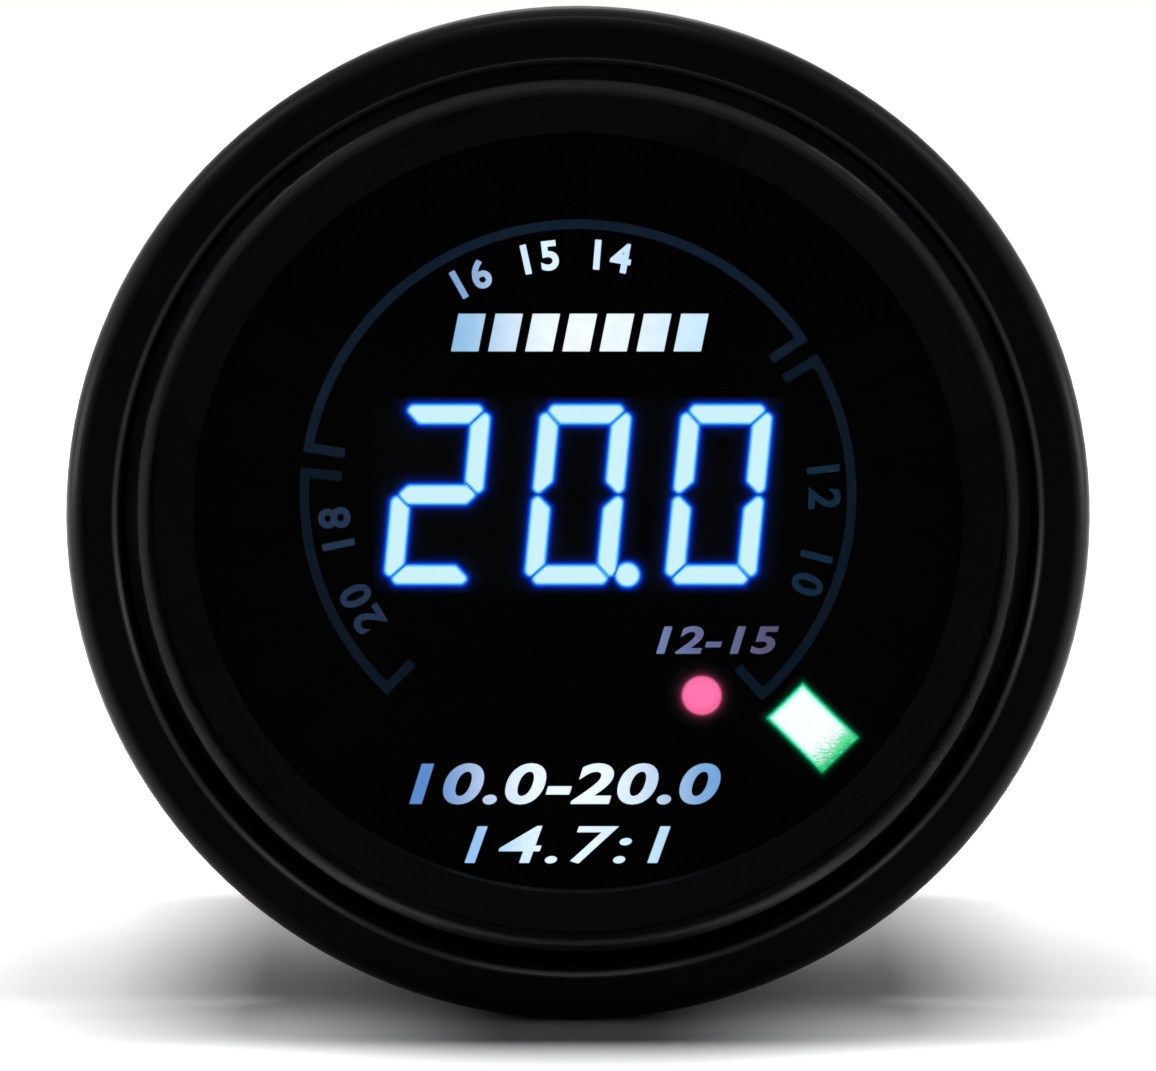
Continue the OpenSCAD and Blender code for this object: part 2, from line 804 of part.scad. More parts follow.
// Flat chip with a row of leads on each side
module microcontroller() {
    lead_pitch = chip_w / (chip_leads + 1);
    color([0.1, 0.1, 0.1])
    facing()
    translate([chip_shares[0] * driver_r, chip_shares[1] * driver_r, driver_front_z]) {
        block(0, 0, chip_w, chip_w, 0, chip_h);
        for (turn = [0:90:270], k = [1:chip_leads]) {
            rotate(turn)
            block(chip_w / 2 + chip_lead_l / 2 - chip_lead_t, k * lead_pitch - chip_w / 2,
                chip_lead_l + chip_lead_t, chip_lead_w, 0, chip_lead_t);
        }
    }
}

module voltage_regulator() {
    color([0.15, 0.15, 0.15])
    facing()
    translate([regulator_shares[0] * driver_r, regulator_shares[1] * driver_r, driver_back_z])
    mirror([0, 0, 1]) {
        block(0, 0, regulator_w, regulator_l, 0, regulator_h);
        block(0, (regulator_l + regulator_tab_l) / 2 - regulator_tab_t,
            regulator_w - 2 * regulator_tab_t, regulator_tab_l, 0, regulator_tab_t);
    }
}

module capacitors() {
    color([0.7, 0.7, 0.72])
    facing()
    for (share = capacitor_shares) {
        translate([share[0] * driver_r, share[1] * driver_r, driver_back_z])
        mirror([0, 0, 1]) {
            block(0, 0, capacitor_foot_w, capacitor_foot_w, 0, capacitor_foot_t);
            disc(0, capacitor_h, capacitor_d / 2);
        }
    }
}

// Strip and pins that join the two boards
module board_header() {
    color([0.08, 0.08, 0.08])
    facing() {
        block(0, header_y, pin_columns * pin_pitch, header_t, driver_front_z, board_back_z);
        for (column = [0:pin_columns - 1]) {
            shaft((column - (pin_columns - 1) / 2) * pin_pitch, header_y, header_pin_r,
                driver_back_z - pin_tail / 2, board_front_z - pin_tail / 10);
        }
    }
}

// Tube with a flange, a snap ridge, a collar and inside it ribs and screw pillars
module barrel() {
    outline = [
        [bore_r, cover_front_z], [barrel_end_r, cover_front_z], [barrel_r, -collar_l - collar_step],
        [collar_r, -collar_l], [collar_r, 0], [flange_r, 0], [flange_r, ridge_z],
        [ridge_r, ridge_z + ridge_w / 3], [ridge_r, ridge_z + 2 * ridge_w / 3],
        [flange_r, ridge_z + ridge_w], [flange_r, flange_t], [bore_r, flange_t]
    ];
    color([0.05, 0.05, 0.05])
    facing() {
        rotate_extrude() polygon(outline);
        for (i = [0:rib_count - 1]) {
            rotate(i * 360 / rib_count)
            block(bore_r - rib_h / 2 + root / 2, 0, rib_h + root, rib_w, rib_back_z, board_back_z);
        }
        at_cover_screws()
        disc(cover_front_z, pillar_front_z, pillar_r, cover_screw_r + thread_fit);
    }
}

// Cap on the back of the barrel, with the socket's window and the studs' bosses
module back_cover() {
    floor_z = cover_back_z + cover_head_h;
    color([0.05, 0.05, 0.05])
    facing()
    difference() {
        union() {
            mirror([0, 0, 1])
            rotate_extrude()
            polygon(concat([[0, -cover_front_z]], [[barrel_end_r, -cover_front_z]],
                edge_arc(barrel_end_r, -cover_back_z, cover_round), [[0, -cover_back_z]]));
            disc(cover_front_z - root, cover_front_z + spigot_h, spigot_r, spigot_r - spigot_wall);
            at_studs() disc(boss_back_z, cover_back_z + root, stud_boss_r);
        }
        at_studs() via(0, 0, stud_r + thread_fit, boss_back_z, cover_front_z);
        at_cover_screws() {
            disc(cover_front_z, cover_front_z + spigot_h + cut, pillar_r + spigot_fit);
            via(0, 0, cover_hole_r, cover_back_z, cover_front_z);
            disc(boss_back_z - cut, floor_z, cover_head_r + 3 * thread_fit);
        }
        block(0, socket_y, socket_w + 2 * spigot_fit, socket_h + 2 * spigot_fit,
            boss_back_z - cut, cover_front_z + spigot_h + cut);
    }
}

module cover_screws() {
    color([0.6, 0.6, 0.6])
    facing()
    at_cover_screws()
    translate([0, 0, cover_back_z + cover_head_h])
    mirror([0, 0, 1])
    screw(cover_screw_r, cover_t - cover_head_h + cover_screw_l, cover_head_r, cover_head_h);
}

function socket_pin_x() =
    [for (i = [0:socket_pin_n - 1]) (i - (socket_pin_n - 1) / 2) * socket_pitch];

// Open box with a keying rib, on the driver board and out through the cover
module power_socket() {
    color([0.85, 0.85, 0.8])
    facing()
    difference() {
        block(0, socket_y, socket_w, socket_h, socket_back_z, socket_front_z);
        difference() {
            block(0, socket_y, socket_w - 2 * socket_wall, socket_h - 2 * socket_wall,
                socket_back_z - cut, socket_front_z - socket_floor);
            block(0, socket_y + socket_h / 2 - socket_wall, socket_key_w, 2 * socket_key_t,
                socket_back_z - 2 * cut, socket_front_z);
        }
        for (x = socket_pin_x()) {
            block(x, socket_y, socket_pin_w + 2 * thread_fit, socket_pin_w + 2 * thread_fit,
                socket_front_z - socket_floor - cut, socket_front_z + cut);
        }
    }
}

module socket_pins() {
    tip_z = socket_front_z - socket_floor - socket_pin_l;
    color([0.8, 0.7, 0.4])
    facing()
    for (x = socket_pin_x()) {
        block(x, socket_y, socket_pin_w, socket_pin_w, tip_z, driver_front_z + socket_pin_tail / 4);
    }
}

// Screw whose hexagonal head stands inside the cover
module stud(side) {
    chamfer = stud_d / 10;
    color([0.75, 0.75, 0.75])
    facing()
    translate([side * stud_pitch / 2, 0]) {
        hex_shaft(0, 0, nut_af, cover_front_z, cover_front_z + stud_head_h);
        disc(stud_end_z + chamfer, cover_front_z + stud_head_h / 2, stud_r);
        translate([0, 0, stud_end_z]) cylinder(r1 = stud_r - chamfer, r2 = stud_r, h = chamfer);
    }
}

module lock_nut(side) {
    color([0.75, 0.75, 0.75])
    facing()
    translate([side * stud_pitch / 2, 0])
    difference() {
        hex_shaft(0, 0, nut_af, lock_back_z, boss_back_z);
        via(0, 0, nut_bore_r, lock_back_z, boss_back_z);
    }
}

// Quarter bend of the strip, as seen from above the gauge
module bend() {
    intersection() {
        difference() {
            circle(r = bend_r + strip_t);
            circle(r = bend_r);
        }
        translate([0, -bend_r - strip_t]) square(bend_r + strip_t);
    }
}

// U-shaped strip: the legs press on the panel and the bridge runs on the studs
module clamp_bracket() {
    bend_x = leg_x - bend_r;
    bend_z = bridge_front_z + bend_r;
    color([0.7, 0.7, 0.7])
    facing()
    difference() {
        rotate([90, 0, 0])
        linear_extrude(strip_w, center = true) {
            for (side = [0, 1]) {
                mirror([side, 0]) {
                    translate([leg_x, bend_z]) square([strip_t, -panel_t - bend_z]);
                    translate([bend_x, bend_z]) bend();
                }
            }
            translate([-bend_x, bridge_back_z]) square([2 * bend_x, strip_t]);
        }
        at_studs() via(0, 0, stud_r + hole_fit, bridge_back_z, bridge_front_z);
    }
}

// Spring washer, split at one side
module washer(side) {
    split = strip_t / 2;
    color([0.75, 0.75, 0.75])
    facing()
    translate([side * stud_pitch / 2, 0])
    difference() {
        disc(washer_back_z, bridge_back_z, washer_d / 2, stud_r + hole_fit / 2);
        translate([0, -split / 2, washer_back_z - cut])
        cube([washer_d, split, washer_t + 2 * cut]);
    }
}

// Nut with a plain neck and a knurled rim
module thumb_nut(side) {
    knurl_r = knurl_depth * 1.6;
    edge = thumb_d / 20;
    rim_front_z = washer_back_z - thumb_neck_h;
    back_z = washer_back_z - thumb_h;
    color([0.75, 0.62, 0.3])
    facing()
    translate([side * stud_pitch / 2, 0])
    difference() {
        union() {
            disc(rim_front_z - root, washer_back_z, thumb_neck_d / 2);
            translate([0, 0, back_z])
            rotate_extrude()
            polygon([
                [0, 0], [thumb_r - edge, 0], [thumb_r, edge],
                [thumb_r, rim_front_z - back_z - edge], [thumb_r - edge, rim_front_z - back_z],
                [0, rim_front_z - back_z]
            ]);
        }
        for (i = [0:knurl_count - 1]) {
            rotate(i * 360 / knurl_count)
            via(thumb_r + knurl_r - knurl_depth, 0, knurl_r, back_z, rim_front_z);
        }
        via(0, 0, nut_bore_r, back_z, washer_back_z);
    }
}

bezel_ring();
lens();
lens_seal();
visor_ring();
dial_face();
light_guide();
light_box();
display_housing();
for (i = [1:digit_count]) display_digit(i);
display_pins();
display_board();
for (i = [1:bar_count]) ring_lamp(i);
legend_lamps();
indicator_lamp();
for (i = [1:3]) post(i);
board_screws();
driver_board();
microcontroller();
voltage_regulator();
capacitors();
board_header();
barrel();
back_cover();
cover_screws();
power_socket();
socket_pins();
stud(-1);  // stud_left
stud(1);  // stud_right
lock_nut(-1);  // lock_nut_left
lock_nut(1);  // lock_nut_right
clamp_bracket();
washer(-1);  // washer_left
washer(1);  // washer_right
thumb_nut(-1);  // thumb_nut_left
thumb_nut(1);  // thumb_nut_right
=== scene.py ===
"""Dresses the round air fuel ratio gauge: its finishes, its lit dial and its threads.

Pieces are drawn in the dial's frame, in millimetres: x to the right, y up and z out of
the dial towards the driver. seat() then turns them into the row's frame, in metres, where
the dial faces -Y and +Z is up.
"""

import logging
import math
from contextlib import contextmanager
from dataclasses import asdict, dataclass, field
from enum import Enum
from typing import Callable, Iterator, Sequence

import bpy
import numpy as np
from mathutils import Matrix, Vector


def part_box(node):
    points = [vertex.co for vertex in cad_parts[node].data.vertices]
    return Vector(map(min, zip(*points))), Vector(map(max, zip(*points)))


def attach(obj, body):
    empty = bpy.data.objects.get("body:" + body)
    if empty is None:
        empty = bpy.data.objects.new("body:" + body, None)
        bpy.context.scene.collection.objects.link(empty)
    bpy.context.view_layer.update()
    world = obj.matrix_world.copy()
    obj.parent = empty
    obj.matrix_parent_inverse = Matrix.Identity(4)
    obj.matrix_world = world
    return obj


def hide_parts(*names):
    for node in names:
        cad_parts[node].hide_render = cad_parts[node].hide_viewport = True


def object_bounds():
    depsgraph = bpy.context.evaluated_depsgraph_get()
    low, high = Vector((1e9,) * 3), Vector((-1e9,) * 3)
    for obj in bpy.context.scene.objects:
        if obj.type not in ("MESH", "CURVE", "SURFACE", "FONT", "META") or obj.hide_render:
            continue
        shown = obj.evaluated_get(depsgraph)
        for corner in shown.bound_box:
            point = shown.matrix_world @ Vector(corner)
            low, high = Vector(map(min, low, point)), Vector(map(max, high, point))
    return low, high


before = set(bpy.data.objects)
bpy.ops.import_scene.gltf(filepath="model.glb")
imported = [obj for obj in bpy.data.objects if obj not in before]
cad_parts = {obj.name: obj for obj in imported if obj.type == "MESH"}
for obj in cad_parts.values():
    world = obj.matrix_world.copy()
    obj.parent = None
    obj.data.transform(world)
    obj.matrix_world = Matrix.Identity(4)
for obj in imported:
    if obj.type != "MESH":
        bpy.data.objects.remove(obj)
cad_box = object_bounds()

logging.basicConfig(level=logging.INFO, format="%(message)s")
log = logging.getLogger("gauge")

MM = 0.001
PIXEL = 0.0558  # what a pixel of the photograph spans on the display, in millimetres
UP = (0.0, 0.0, 1.0)
FORWARD = (0.0, -1.0, 0.0)
ACROSS = (1.0, 0.0, 1.0)
WHITE = (1.0, 1.0, 1.0, 1.0)
BLACK = (0.0, 0.0, 0.0, 1.0)

Colour = tuple[float, float, float, float]
Point2 = tuple[float, float]
Triple = tuple[float, float, float]
Piece = bpy.types.Object
Node = bpy.types.Node
Socket = bpy.types.NodeSocket
Sockets = dict[str, Socket]
Results = dict[str, object]
Stops = Sequence[tuple[float, Colour]]


class Body(Enum):
    """The bodies that new pieces ride on."""

    GAUGE = "gauge"
    BRACKET = "bracket"


class Slot(Enum):
    """Names of material slots."""

    HOUSING = "display_housing"
    DIGIT_GLOW = "digit_glow"
    LEGEND_GLOW = "legend_glow"
    BAR_GLOW = "bar_glow"
    INDICATOR = "indicator"
    STUDS = "studs"
    LOCK_NUTS = "lock_nuts"
    BRACKET = "bracket"
    WASHERS = "washers"
    BACK_COVER = "back_cover"
    SOCKET = "socket"


class Segment(Enum):
    """The seven segments of a digit."""

    TOP = "top"
    UPPER_RIGHT = "upper_right"
    LOWER_RIGHT = "lower_right"
    BOTTOM = "bottom"
    LOWER_LEFT = "lower_left"
    UPPER_LEFT = "upper_left"
    MIDDLE = "middle"


class Pick(Enum):
    """What a selection in edit mode is made of."""

    VERTICES = (True, False, False)
    EDGES = (False, True, False)
    FACES = (False, False, True)


def linear(value: float) -> float:
    """Returns the linear level that the sRGB curve shows as a value of 0 to 255."""
    share = value / 255
    return share / 12.92 if share <= 0.04045 else ((share + 0.055) / 1.055) ** 2.4


def shown(red: float, green: float, blue: float) -> Colour:
    """Returns the linear colour that shows as the given values of 0 to 255."""
    return (linear(red), linear(green), linear(blue), 1.0)


# Shader trees

class Tree:
    """Adds nodes to a shader tree and links them."""

    def __init__(self, tree: bpy.types.NodeTree) -> None:
        """Keeps the tree that nodes are added to."""
        self.tree = tree

    def add(self, kind: str, **settings: object) -> Node:
        """Adds a node.

        Args:
            kind: Type of the node, without its ShaderNode prefix.
            settings: Properties of the node.

        Returns:
            The new node.
        """
        node = self.tree.nodes.new("ShaderNode" + kind)
        for name, value in settings.items():
            setattr(node, name, value)
        return node

    def feed(self, socket: Socket, value: object) -> None:
        """Links a socket to another node's output, or sets its value.

        Args:
            socket: The socket.
            value: The output, or the value.
        """
        if isinstance(value, Socket):
            self.tree.links.new(value, socket)
        else:
            socket.default_value = value

    def math(self, operation: str, *values: object, clamp: bool = False) -> Socket:
        """Adds a Math node.

        Args:
            operation: What it does.
            values: Its inputs.
            clamp: Keeps the result from 0 to 1.

        Returns:
            Its output.
        """
        node = self.add("Math", operation=operation, use_clamp=clamp)
        for socket, value in zip(node.inputs, values):
            self.feed(socket, value)
        return node.outputs[0]

    def vector(self, operation: str, *values: object) -> Socket:
        """Adds a Vector Math node.

        Args:
            operation: What it does.
            values: Its inputs.

        Returns:
            The output that holds the result.
        """
        node = self.add("VectorMath", operation=operation)
        for socket, value in zip(node.inputs, values):
            self.feed(socket, value)
        return node.outputs["Value" if operation in ("LENGTH", "DOT_PRODUCT") else "Vector"]

    def noise(self, place: object, scale: object, detail: float = 3.0,
              roughness: float = 0.5) -> Socket:
        """Adds a Noise Texture.

        Args:
            place: Where on the piece.
            scale: Its scale.
            detail: Number of finer layers.
            roughness: Weight of those layers.

        Returns:
            Its value.
        """
        node = self.add("TexNoise")
        self.feed(node.inputs["Vector"], place)
        self.feed(node.inputs["Scale"], scale)
        self.feed(node.inputs["Detail"], detail)
        self.feed(node.inputs["Roughness"], roughness)
        return node.outputs["Fac"]

    def rise(self, value: object, low: object, high: object, to_low: object = 0.0,
             to_high: object = 1.0) -> Socket:
        """Maps a value from one range to another with a soft start and end.

        Args:
            value: The value.
            low: Where the range starts.
            high: Where it ends.
            to_low: The result up to its start.
            to_high: The result past its end.

        Returns:
            The result.
        """
        node = self.add("MapRange", interpolation_type="SMOOTHSTEP")
        for name, given in (("Value", value), ("From Min", low), ("From Max", high),
                            ("To Min", to_low), ("To Max", to_high)):
            self.feed(node.inputs[name], given)
        return node.outputs["Result"]

    def mix(self, share: object, first: object, second: object) -> Socket:
        """Mixes two colours.

        Args:
            share: Share of the second.
            first: The first colour.
            second: The second colour.

        Returns:
            The result.
        """
        node = self.add("Mix", data_type="RGBA")
        self.feed(node.inputs["Factor"], share)
        self.feed(node.inputs[6], first)
        self.feed(node.inputs[7], second)
        return node.outputs[2]

    def ramp(self, value: object, stops: Stops) -> Socket:
        """Adds a Color Ramp.

        Args:
            value: What chooses the colour.
            stops: Places from 0 to 1, with their colours.

        Returns:
            Its colour.
        """
        node = self.add("ValToRGB")
        elements = node.color_ramp.elements
        elements[0].position, elements[0].color = stops[0]
        elements[1].position, elements[1].color = stops[-1]
        for position, colour in stops[1:-1]:
            elements.new(position).color = colour
        self.feed(node.inputs["Fac"], value)
        return node.outputs["Color"]

    def read(self, name: str) -> Socket:
        """Returns the value of a mesh's attribute."""
        return self.add("Attribute", attribute_name=name).outputs["Fac"]

    def apply(self, effect: "Effect", **values: object) -> Node:
        """Adds a shared effect.

        Args:
            effect: The effect.
            values: Its inputs, whose names are given in small letters.

        Returns:
            The group's node.
        """
        node = self.add("Group", node_tree=effect.group())
        for name, value in values.items():
            self.feed(node.inputs[name.capitalize()], value)
        return node


SPECK_SCALE = 9000.0
DUST_FILM_SCALE = 250.0
PATCH_SCALE = 180.0
SHINE_SCALE = 1500.0
BAND_TOP = (0.008, 0.026)
SOCKET_KINDS = {float: "NodeSocketFloat", Vector: "NodeSocketVector", tuple: "NodeSocketColor"}


@dataclass(frozen=True)
class Effect:
    """An effect that finishes share, built once as a node group.

    Each input has its default value and each output its type. What draws the effect
    takes the group's tree and the inputs' sockets, and returns what feeds each output.
    """

    name: str
    inputs: dict[str, object]
    outputs: dict[str, type]
    draw: Callable[[Tree, Sockets], Results]

    def group(self) -> bpy.types.NodeTree:
        """Builds the group the first time it is asked for.

        Returns:
            The group.
        """
        known = bpy.data.node_groups.get(self.name)
        if known:
            return known
        group = bpy.data.node_groups.new(self.name, "ShaderNodeTree")
        for label, default in self.inputs.items():
            socket = group.interface.new_socket(
                label, in_out="INPUT", socket_type=SOCKET_KINDS[type(default)])
            socket.default_value = default
        for label, kind in self.outputs.items():
            group.interface.new_socket(label, in_out="OUTPUT", socket_type=SOCKET_KINDS[kind])
        tree = Tree(group)
        given = {s.name: s for s in group.nodes.new("NodeGroupInput").outputs if s.name}
        result = group.nodes.new("NodeGroupOutput")
        for label, socket in self.draw(tree, given).items():
            tree.feed(result.inputs[label], socket)
        return group


def draw_grain(tree: Tree, given: Sockets) -> Results:
    """Draws fine moulded grain, with a slow change of tone over the surface.

    Args:
        tree: The group's tree.
        given: Its inputs: the place and the grain's scale.

    Returns:
        The grain's height and tone.
    """
    fine = tree.noise(given["Place"], given["Scale"], detail=2.0, roughness=0.6)
    slow = tree.noise(given["Place"], tree.math("MULTIPLY", given["Scale"], 0.03))
    return {"Height": fine, "Tone": tree.rise(slow, 0.3, 0.7)}


def draw_smudges(tree: Tree, given: Sockets) -> Results:
    """Draws roughness that changes where hands and cloths have been.

    Args:
        tree: The group's tree.
        given: Its inputs: the place, the scale, and the lowest and highest roughness.

    Returns:
        The roughness.
    """
    spots = tree.noise(given["Place"], given["Scale"], detail=4.0, roughness=0.65)
    return {"Roughness": tree.rise(spots, 0.35, 0.65, given["Low"], given["High"])}


def draw_dust(tree: Tree, given: Sockets) -> Results:
    """Draws specks and a film of dust, on the faces that look up.

    Args:
        tree: The group's tree.
        given: Its inputs: the place and the amount of dust.

    Returns:
        The dust's mask.
    """
    normal = tree.add("TexCoord").outputs["Normal"]
    upward = tree.rise(tree.vector("DOT_PRODUCT", normal, UP), 0.2, 1.0)
    specks = tree.rise(tree.noise(given["Place"], SPECK_SCALE, detail=1.0), 0.62, 0.75)
    film = tree.rise(tree.noise(given["Place"], DUST_FILM_SCALE), 0.35, 0.8)
    both = tree.math("MULTIPLY_ADD", film, 0.4, specks)
    return {"Mask": tree.math("MULTIPLY", tree.math("MULTIPLY", both, upward),
                              given["Amount"], clamp=True)}


def draw_brushing(tree: Tree, given: Sockets) -> Results:
    """Draws fine lines left by rolling or turning, drawn out along one axis.

    Args:
        tree: The group's tree.
        given: Its inputs: the place, the stretch along each axis, and the scale.

    Returns:
        The lines' height and the patches' tone.
    """
    drawn = tree.vector("MULTIPLY", given["Place"], given["Stretch"])
    patches = tree.noise(given["Place"], PATCH_SCALE)
    return {"Height": tree.noise(drawn, given["Scale"], roughness=0.7),
            "Tone": tree.rise(patches, 0.3, 0.7)}


def draw_ring_band(tree: Tree, given: Sockets) -> Results:
    """Draws a band round the gauge's axis that is strongest at one radius.

    Args:
        tree: The group's tree.
        given: Its inputs: the place, and what Band holds.

    Returns:
        The band's mask.
    """
    flat = tree.vector("MULTIPLY", given["Place"], ACROSS)
    height = tree.vector("DOT_PRODUCT", given["Place"], UP)
    forward = tree.vector("DOT_PRODUCT", given["Place"], FORWARD)
    away = tree.math("SUBTRACT", tree.vector("LENGTH", flat), given["Radius"])
    mask = given["Weight"]
    # the shares by height paint highlight: they weaken or strengthen the band where the light
    # falls
    for share in (tree.rise(tree.math("ABSOLUTE", away), given["Width"], 0.0),
                  tree.rise(height, given["Low"], given["High"], given["Floor"], 1.0),
                  tree.rise(height, *BAND_TOP, 1.0, given["Top"]),
                  tree.rise(forward, given["Back"], given["Front"])):
        mask = tree.math("MULTIPLY", mask, share)
    return {"Mask": mask}


def draw_shine(tree: Tree, given: Sockets) -> Results:
    """Draws the colour of printed light: one tone in the middle and two at the ends.

    Args:
        tree: The group's tree.
        given: Its inputs: the place, the middle and the reach along x, and the three tones.

    Returns:
        The colour.
    """
    across = tree.vector("DOT_PRODUCT", given["Place"], (1.0, 0.0, 0.0))
    share = tree.math("DIVIDE", tree.math("SUBTRACT", across, given["Middle"]), given["Reach"])
    tone = tree.mix(tree.rise(share, -0.15, -1.0), given["Centre"], given["Start"])
    tone = tree.mix(tree.rise(share, 0.15, 1.0), tone, given["End"])
    patchy = tree.noise(given["Place"], SHINE_SCALE, detail=2.0)
    return {"Colour": tree.vector("MULTIPLY", tone, tree.rise(patchy, 0.2, 0.8, 0.95, 1.03))}


GRAIN = Effect("moulded_grain", {"Place": Vector(), "Scale": 4000.0},
               {"Height": float, "Tone": float}, draw_grain)
SMUDGES = Effect("smudges", {"Place": Vector(), "Scale": 200.0, "Low": 0.3, "High": 0.4},
                 {"Roughness": float}, draw_smudges)
DUST = Effect("dust", {"Place": Vector(), "Amount": 0.2}, {"Mask": float}, draw_dust)
BRUSHING = Effect("brushing", {"Place": Vector(), "Stretch": Vector((1.0, 0.03, 1.0)),
                               "Scale": 6000.0},
                  {"Height": float, "Tone": float}, draw_brushing)
RING_BAND = Effect("ring_band", {"Place": Vector(), "Radius": 0.025, "Width": 0.001,
                                 "Weight": 1.0, "Low": -0.028, "High": -0.008, "Floor": 0.3,
                                 "Top": 1.0, "Back": 0.0, "Front": 0.001},
                   {"Mask": float}, draw_ring_band)
SHINE = Effect("printed_shine", {"Place": Vector(), "Middle": 0.0, "Reach": 0.01,
                                 "Centre": WHITE, "Start": WHITE, "End": WHITE},
               {"Colour": tuple}, draw_shine)


# Finishes

DUST_COLOUR: Colour = (0.32, 0.31, 0.29, 1.0)
LENS_TINT: Colour = (0.34, 0.35, 0.37, 1.0)
LENS_GAIN = 2.9
DULL = 0.1
UNLIT_TONES: tuple[Colour, Colour] = ((0.0012, 0.0012, 0.0015, 1.0), (0.0018, 0.0018, 0.0022, 1.0))
DARK_INK: Colour = (0.01, 0.011, 0.013, 1.0)
GLOW = "glow"
ALONG = "along"


def scaled(colour: Colour, share: float) -> Colour:
    """Returns a colour made darker or lighter by a share."""
    return (colour[0] * share, colour[1] * share, colour[2] * share, 1.0)


@dataclass(frozen=True)
class Band:
    """Polished band round the gauge's axis, with its lengths in metres.

    The width is half of the band's. The band fades in from the back depth to the front
    depth. It changes between the heights high and low to the floor's share of its weight,
    and towards the top to the top's share. These shares by height paint highlight: they
    make the band's reflection stronger or weaker where the light falls.
    """

    radius: float
    width: float
    weight: float
    back: float = 0.004
    front: float = 0.005
    floor: float = 0.3
    low: float = -0.028
    high: float = -0.008
    top: float = 1.0


class Surface(Tree):
    """A new material's tree, with its Principled shader and the Object coordinates."""

    def __init__(self, name: str) -> None:
        """Makes the material.

        Args:
            name: Its name.
        """
        self.material = bpy.data.materials.new(name)
        self.material.use_nodes = True
        super().__init__(self.material.node_tree)
        self.shader = self.tree.nodes["Principled BSDF"]
        self.place = self.add("TexCoord").outputs["Object"]

    def fill(self, values: dict[str, object]) -> None:
        """Links or sets the shader's inputs, by their names."""
        for name, value in values.items():
            self.feed(self.shader.inputs[name], value)

    def grained(self, scale: float, first: Colour, second: Colour) -> tuple[Socket, Socket]:
        """Returns the tone of a grain, between two colours, and its height."""
        texture = self.apply(GRAIN, place=self.place, scale=scale)
        return self.mix(texture.outputs["Tone"], first, second), texture.outputs["Height"]

    def dusted(self, tone: Socket, amount: float) -> None:
        """Gives the surface a tone with an amount of dust on it."""
        specks = self.apply(DUST, place=self.place, amount=amount)
        self.fill({"Base Color": self.mix(specks.outputs["Mask"], tone, DUST_COLOUR)})

    def smudged(self, scale: float, low: float, high: float) -> None:
        """Gives the surface a roughness that smudges change, from low to high."""
        marks = self.apply(SMUDGES, place=self.place, scale=scale, low=low, high=high)
        self.fill({"Roughness": marks.outputs["Roughness"]})

    def embossed(self, height: object, depth: float) -> None:
        """Gives the surface a relief.

        Args:
            height: Its height, from 0 to 1.
            depth: How deep it is, in metres.
        """
        bump = self.add("Bump")
        self.feed(bump.inputs["Distance"], depth)
        self.feed(bump.inputs["Height"], height)
        self.fill({"Normal": bump.outputs["Normal"]})

    def polished(self, bands: Sequence[Band], roughness: float) -> None:
        """Gives the surface polished bands, as a coat, whose weights by height paint highlights.

        Args:
            bands: The bands.
            roughness: Roughness of the coat.
        """
        weight: object = 0.0
        for band in bands:
            ring = self.apply(RING_BAND, place=self.place, **asdict(band))
            weight = self.math("ADD", weight, ring.outputs["Mask"], clamp=True)
        if bands:
            self.fill({"Coat Weight": weight, "Coat Roughness": roughness})


@dataclass(frozen=True)
class Finish:
    """A named finish, whose material is built once."""

    name: str

    def material(self) -> bpy.types.Material:
        """Builds the finish's material the first time it is asked for.

        Returns:
            The material.
        """
        known = bpy.data.materials.get(self.name)
        if known:
            return known
        surface = Surface(self.name)
        self.dress(surface)
        return surface.material

    def dress(self, surface: Surface) -> None:
        """Adds the finish's nodes to its surface."""
        raise NotImplementedError


@dataclass(frozen=True)
class Moulded(Finish):
    """Moulded plastic or resin with a fine grain, smudges and a little dust."""

    colour: Colour
    low: float = 0.35
    high: float = 0.5
    specular: float = 0.5
    grain_scale: float = 5000.0
    grain_depth: float = 0.000008
    spread: float = 0.15
    smudge_scale: float = 260.0
    dusty: float = 0.06
    bands: tuple[Band, ...] = ()
    coat_roughness: float = 0.2
    # glow: strength of a faint white emission, painted light on a part that is no lamp
    glow: float = 0.0

    def toned(self, surface: Surface) -> tuple[Socket, Socket]:
        """Returns the grain's tone, which is spread about the finish's colour, and its height."""
        return surface.grained(self.grain_scale, scaled(self.colour, 1 - self.spread),
                               scaled(self.colour, 1 + self.spread))

    def dress(self, surface: Surface) -> None:
        """Adds grain, tone, smudges, dust, the polished bands with their painted highlights, and a
        painted glow where glow is set.

        Args:
            surface: The finish's surface.
        """
        tone, height = self.toned(surface)
        surface.dusted(tone, self.dusty)
        surface.smudged(self.smudge_scale, self.low, self.high)
        surface.fill({"Specular IOR Level": self.specular})
        # painted light: a faint white emission that lifts the part as if more light fell on it
        if self.glow:
            surface.fill({"Emission Color": WHITE, "Emission Strength": self.glow})
        surface.embossed(height, self.grain_depth)
        surface.polished(self.bands, self.coat_roughness)


@dataclass(frozen=True)
class Smoked(Moulded):
    """Smoked clear plastic with a polished edge, whose coat is weighted by height to paint its
    highlight.
    """

    spread: float = 0.01
    ior: float = 1.1

    def dress(self, surface: Surface) -> None:
        """Adds the tint, the wiping marks and the polished edge with its painted highlight.

        Args:
            surface: The finish's surface.
        """
        tint, _ = self.toned(surface)
        surface.fill({"Base Color": tint, "Transmission Weight": 1.0, "IOR": self.ior})
        surface.smudged(self.smudge_scale, self.low, self.high)
        surface.polished(self.bands, self.coat_roughness)


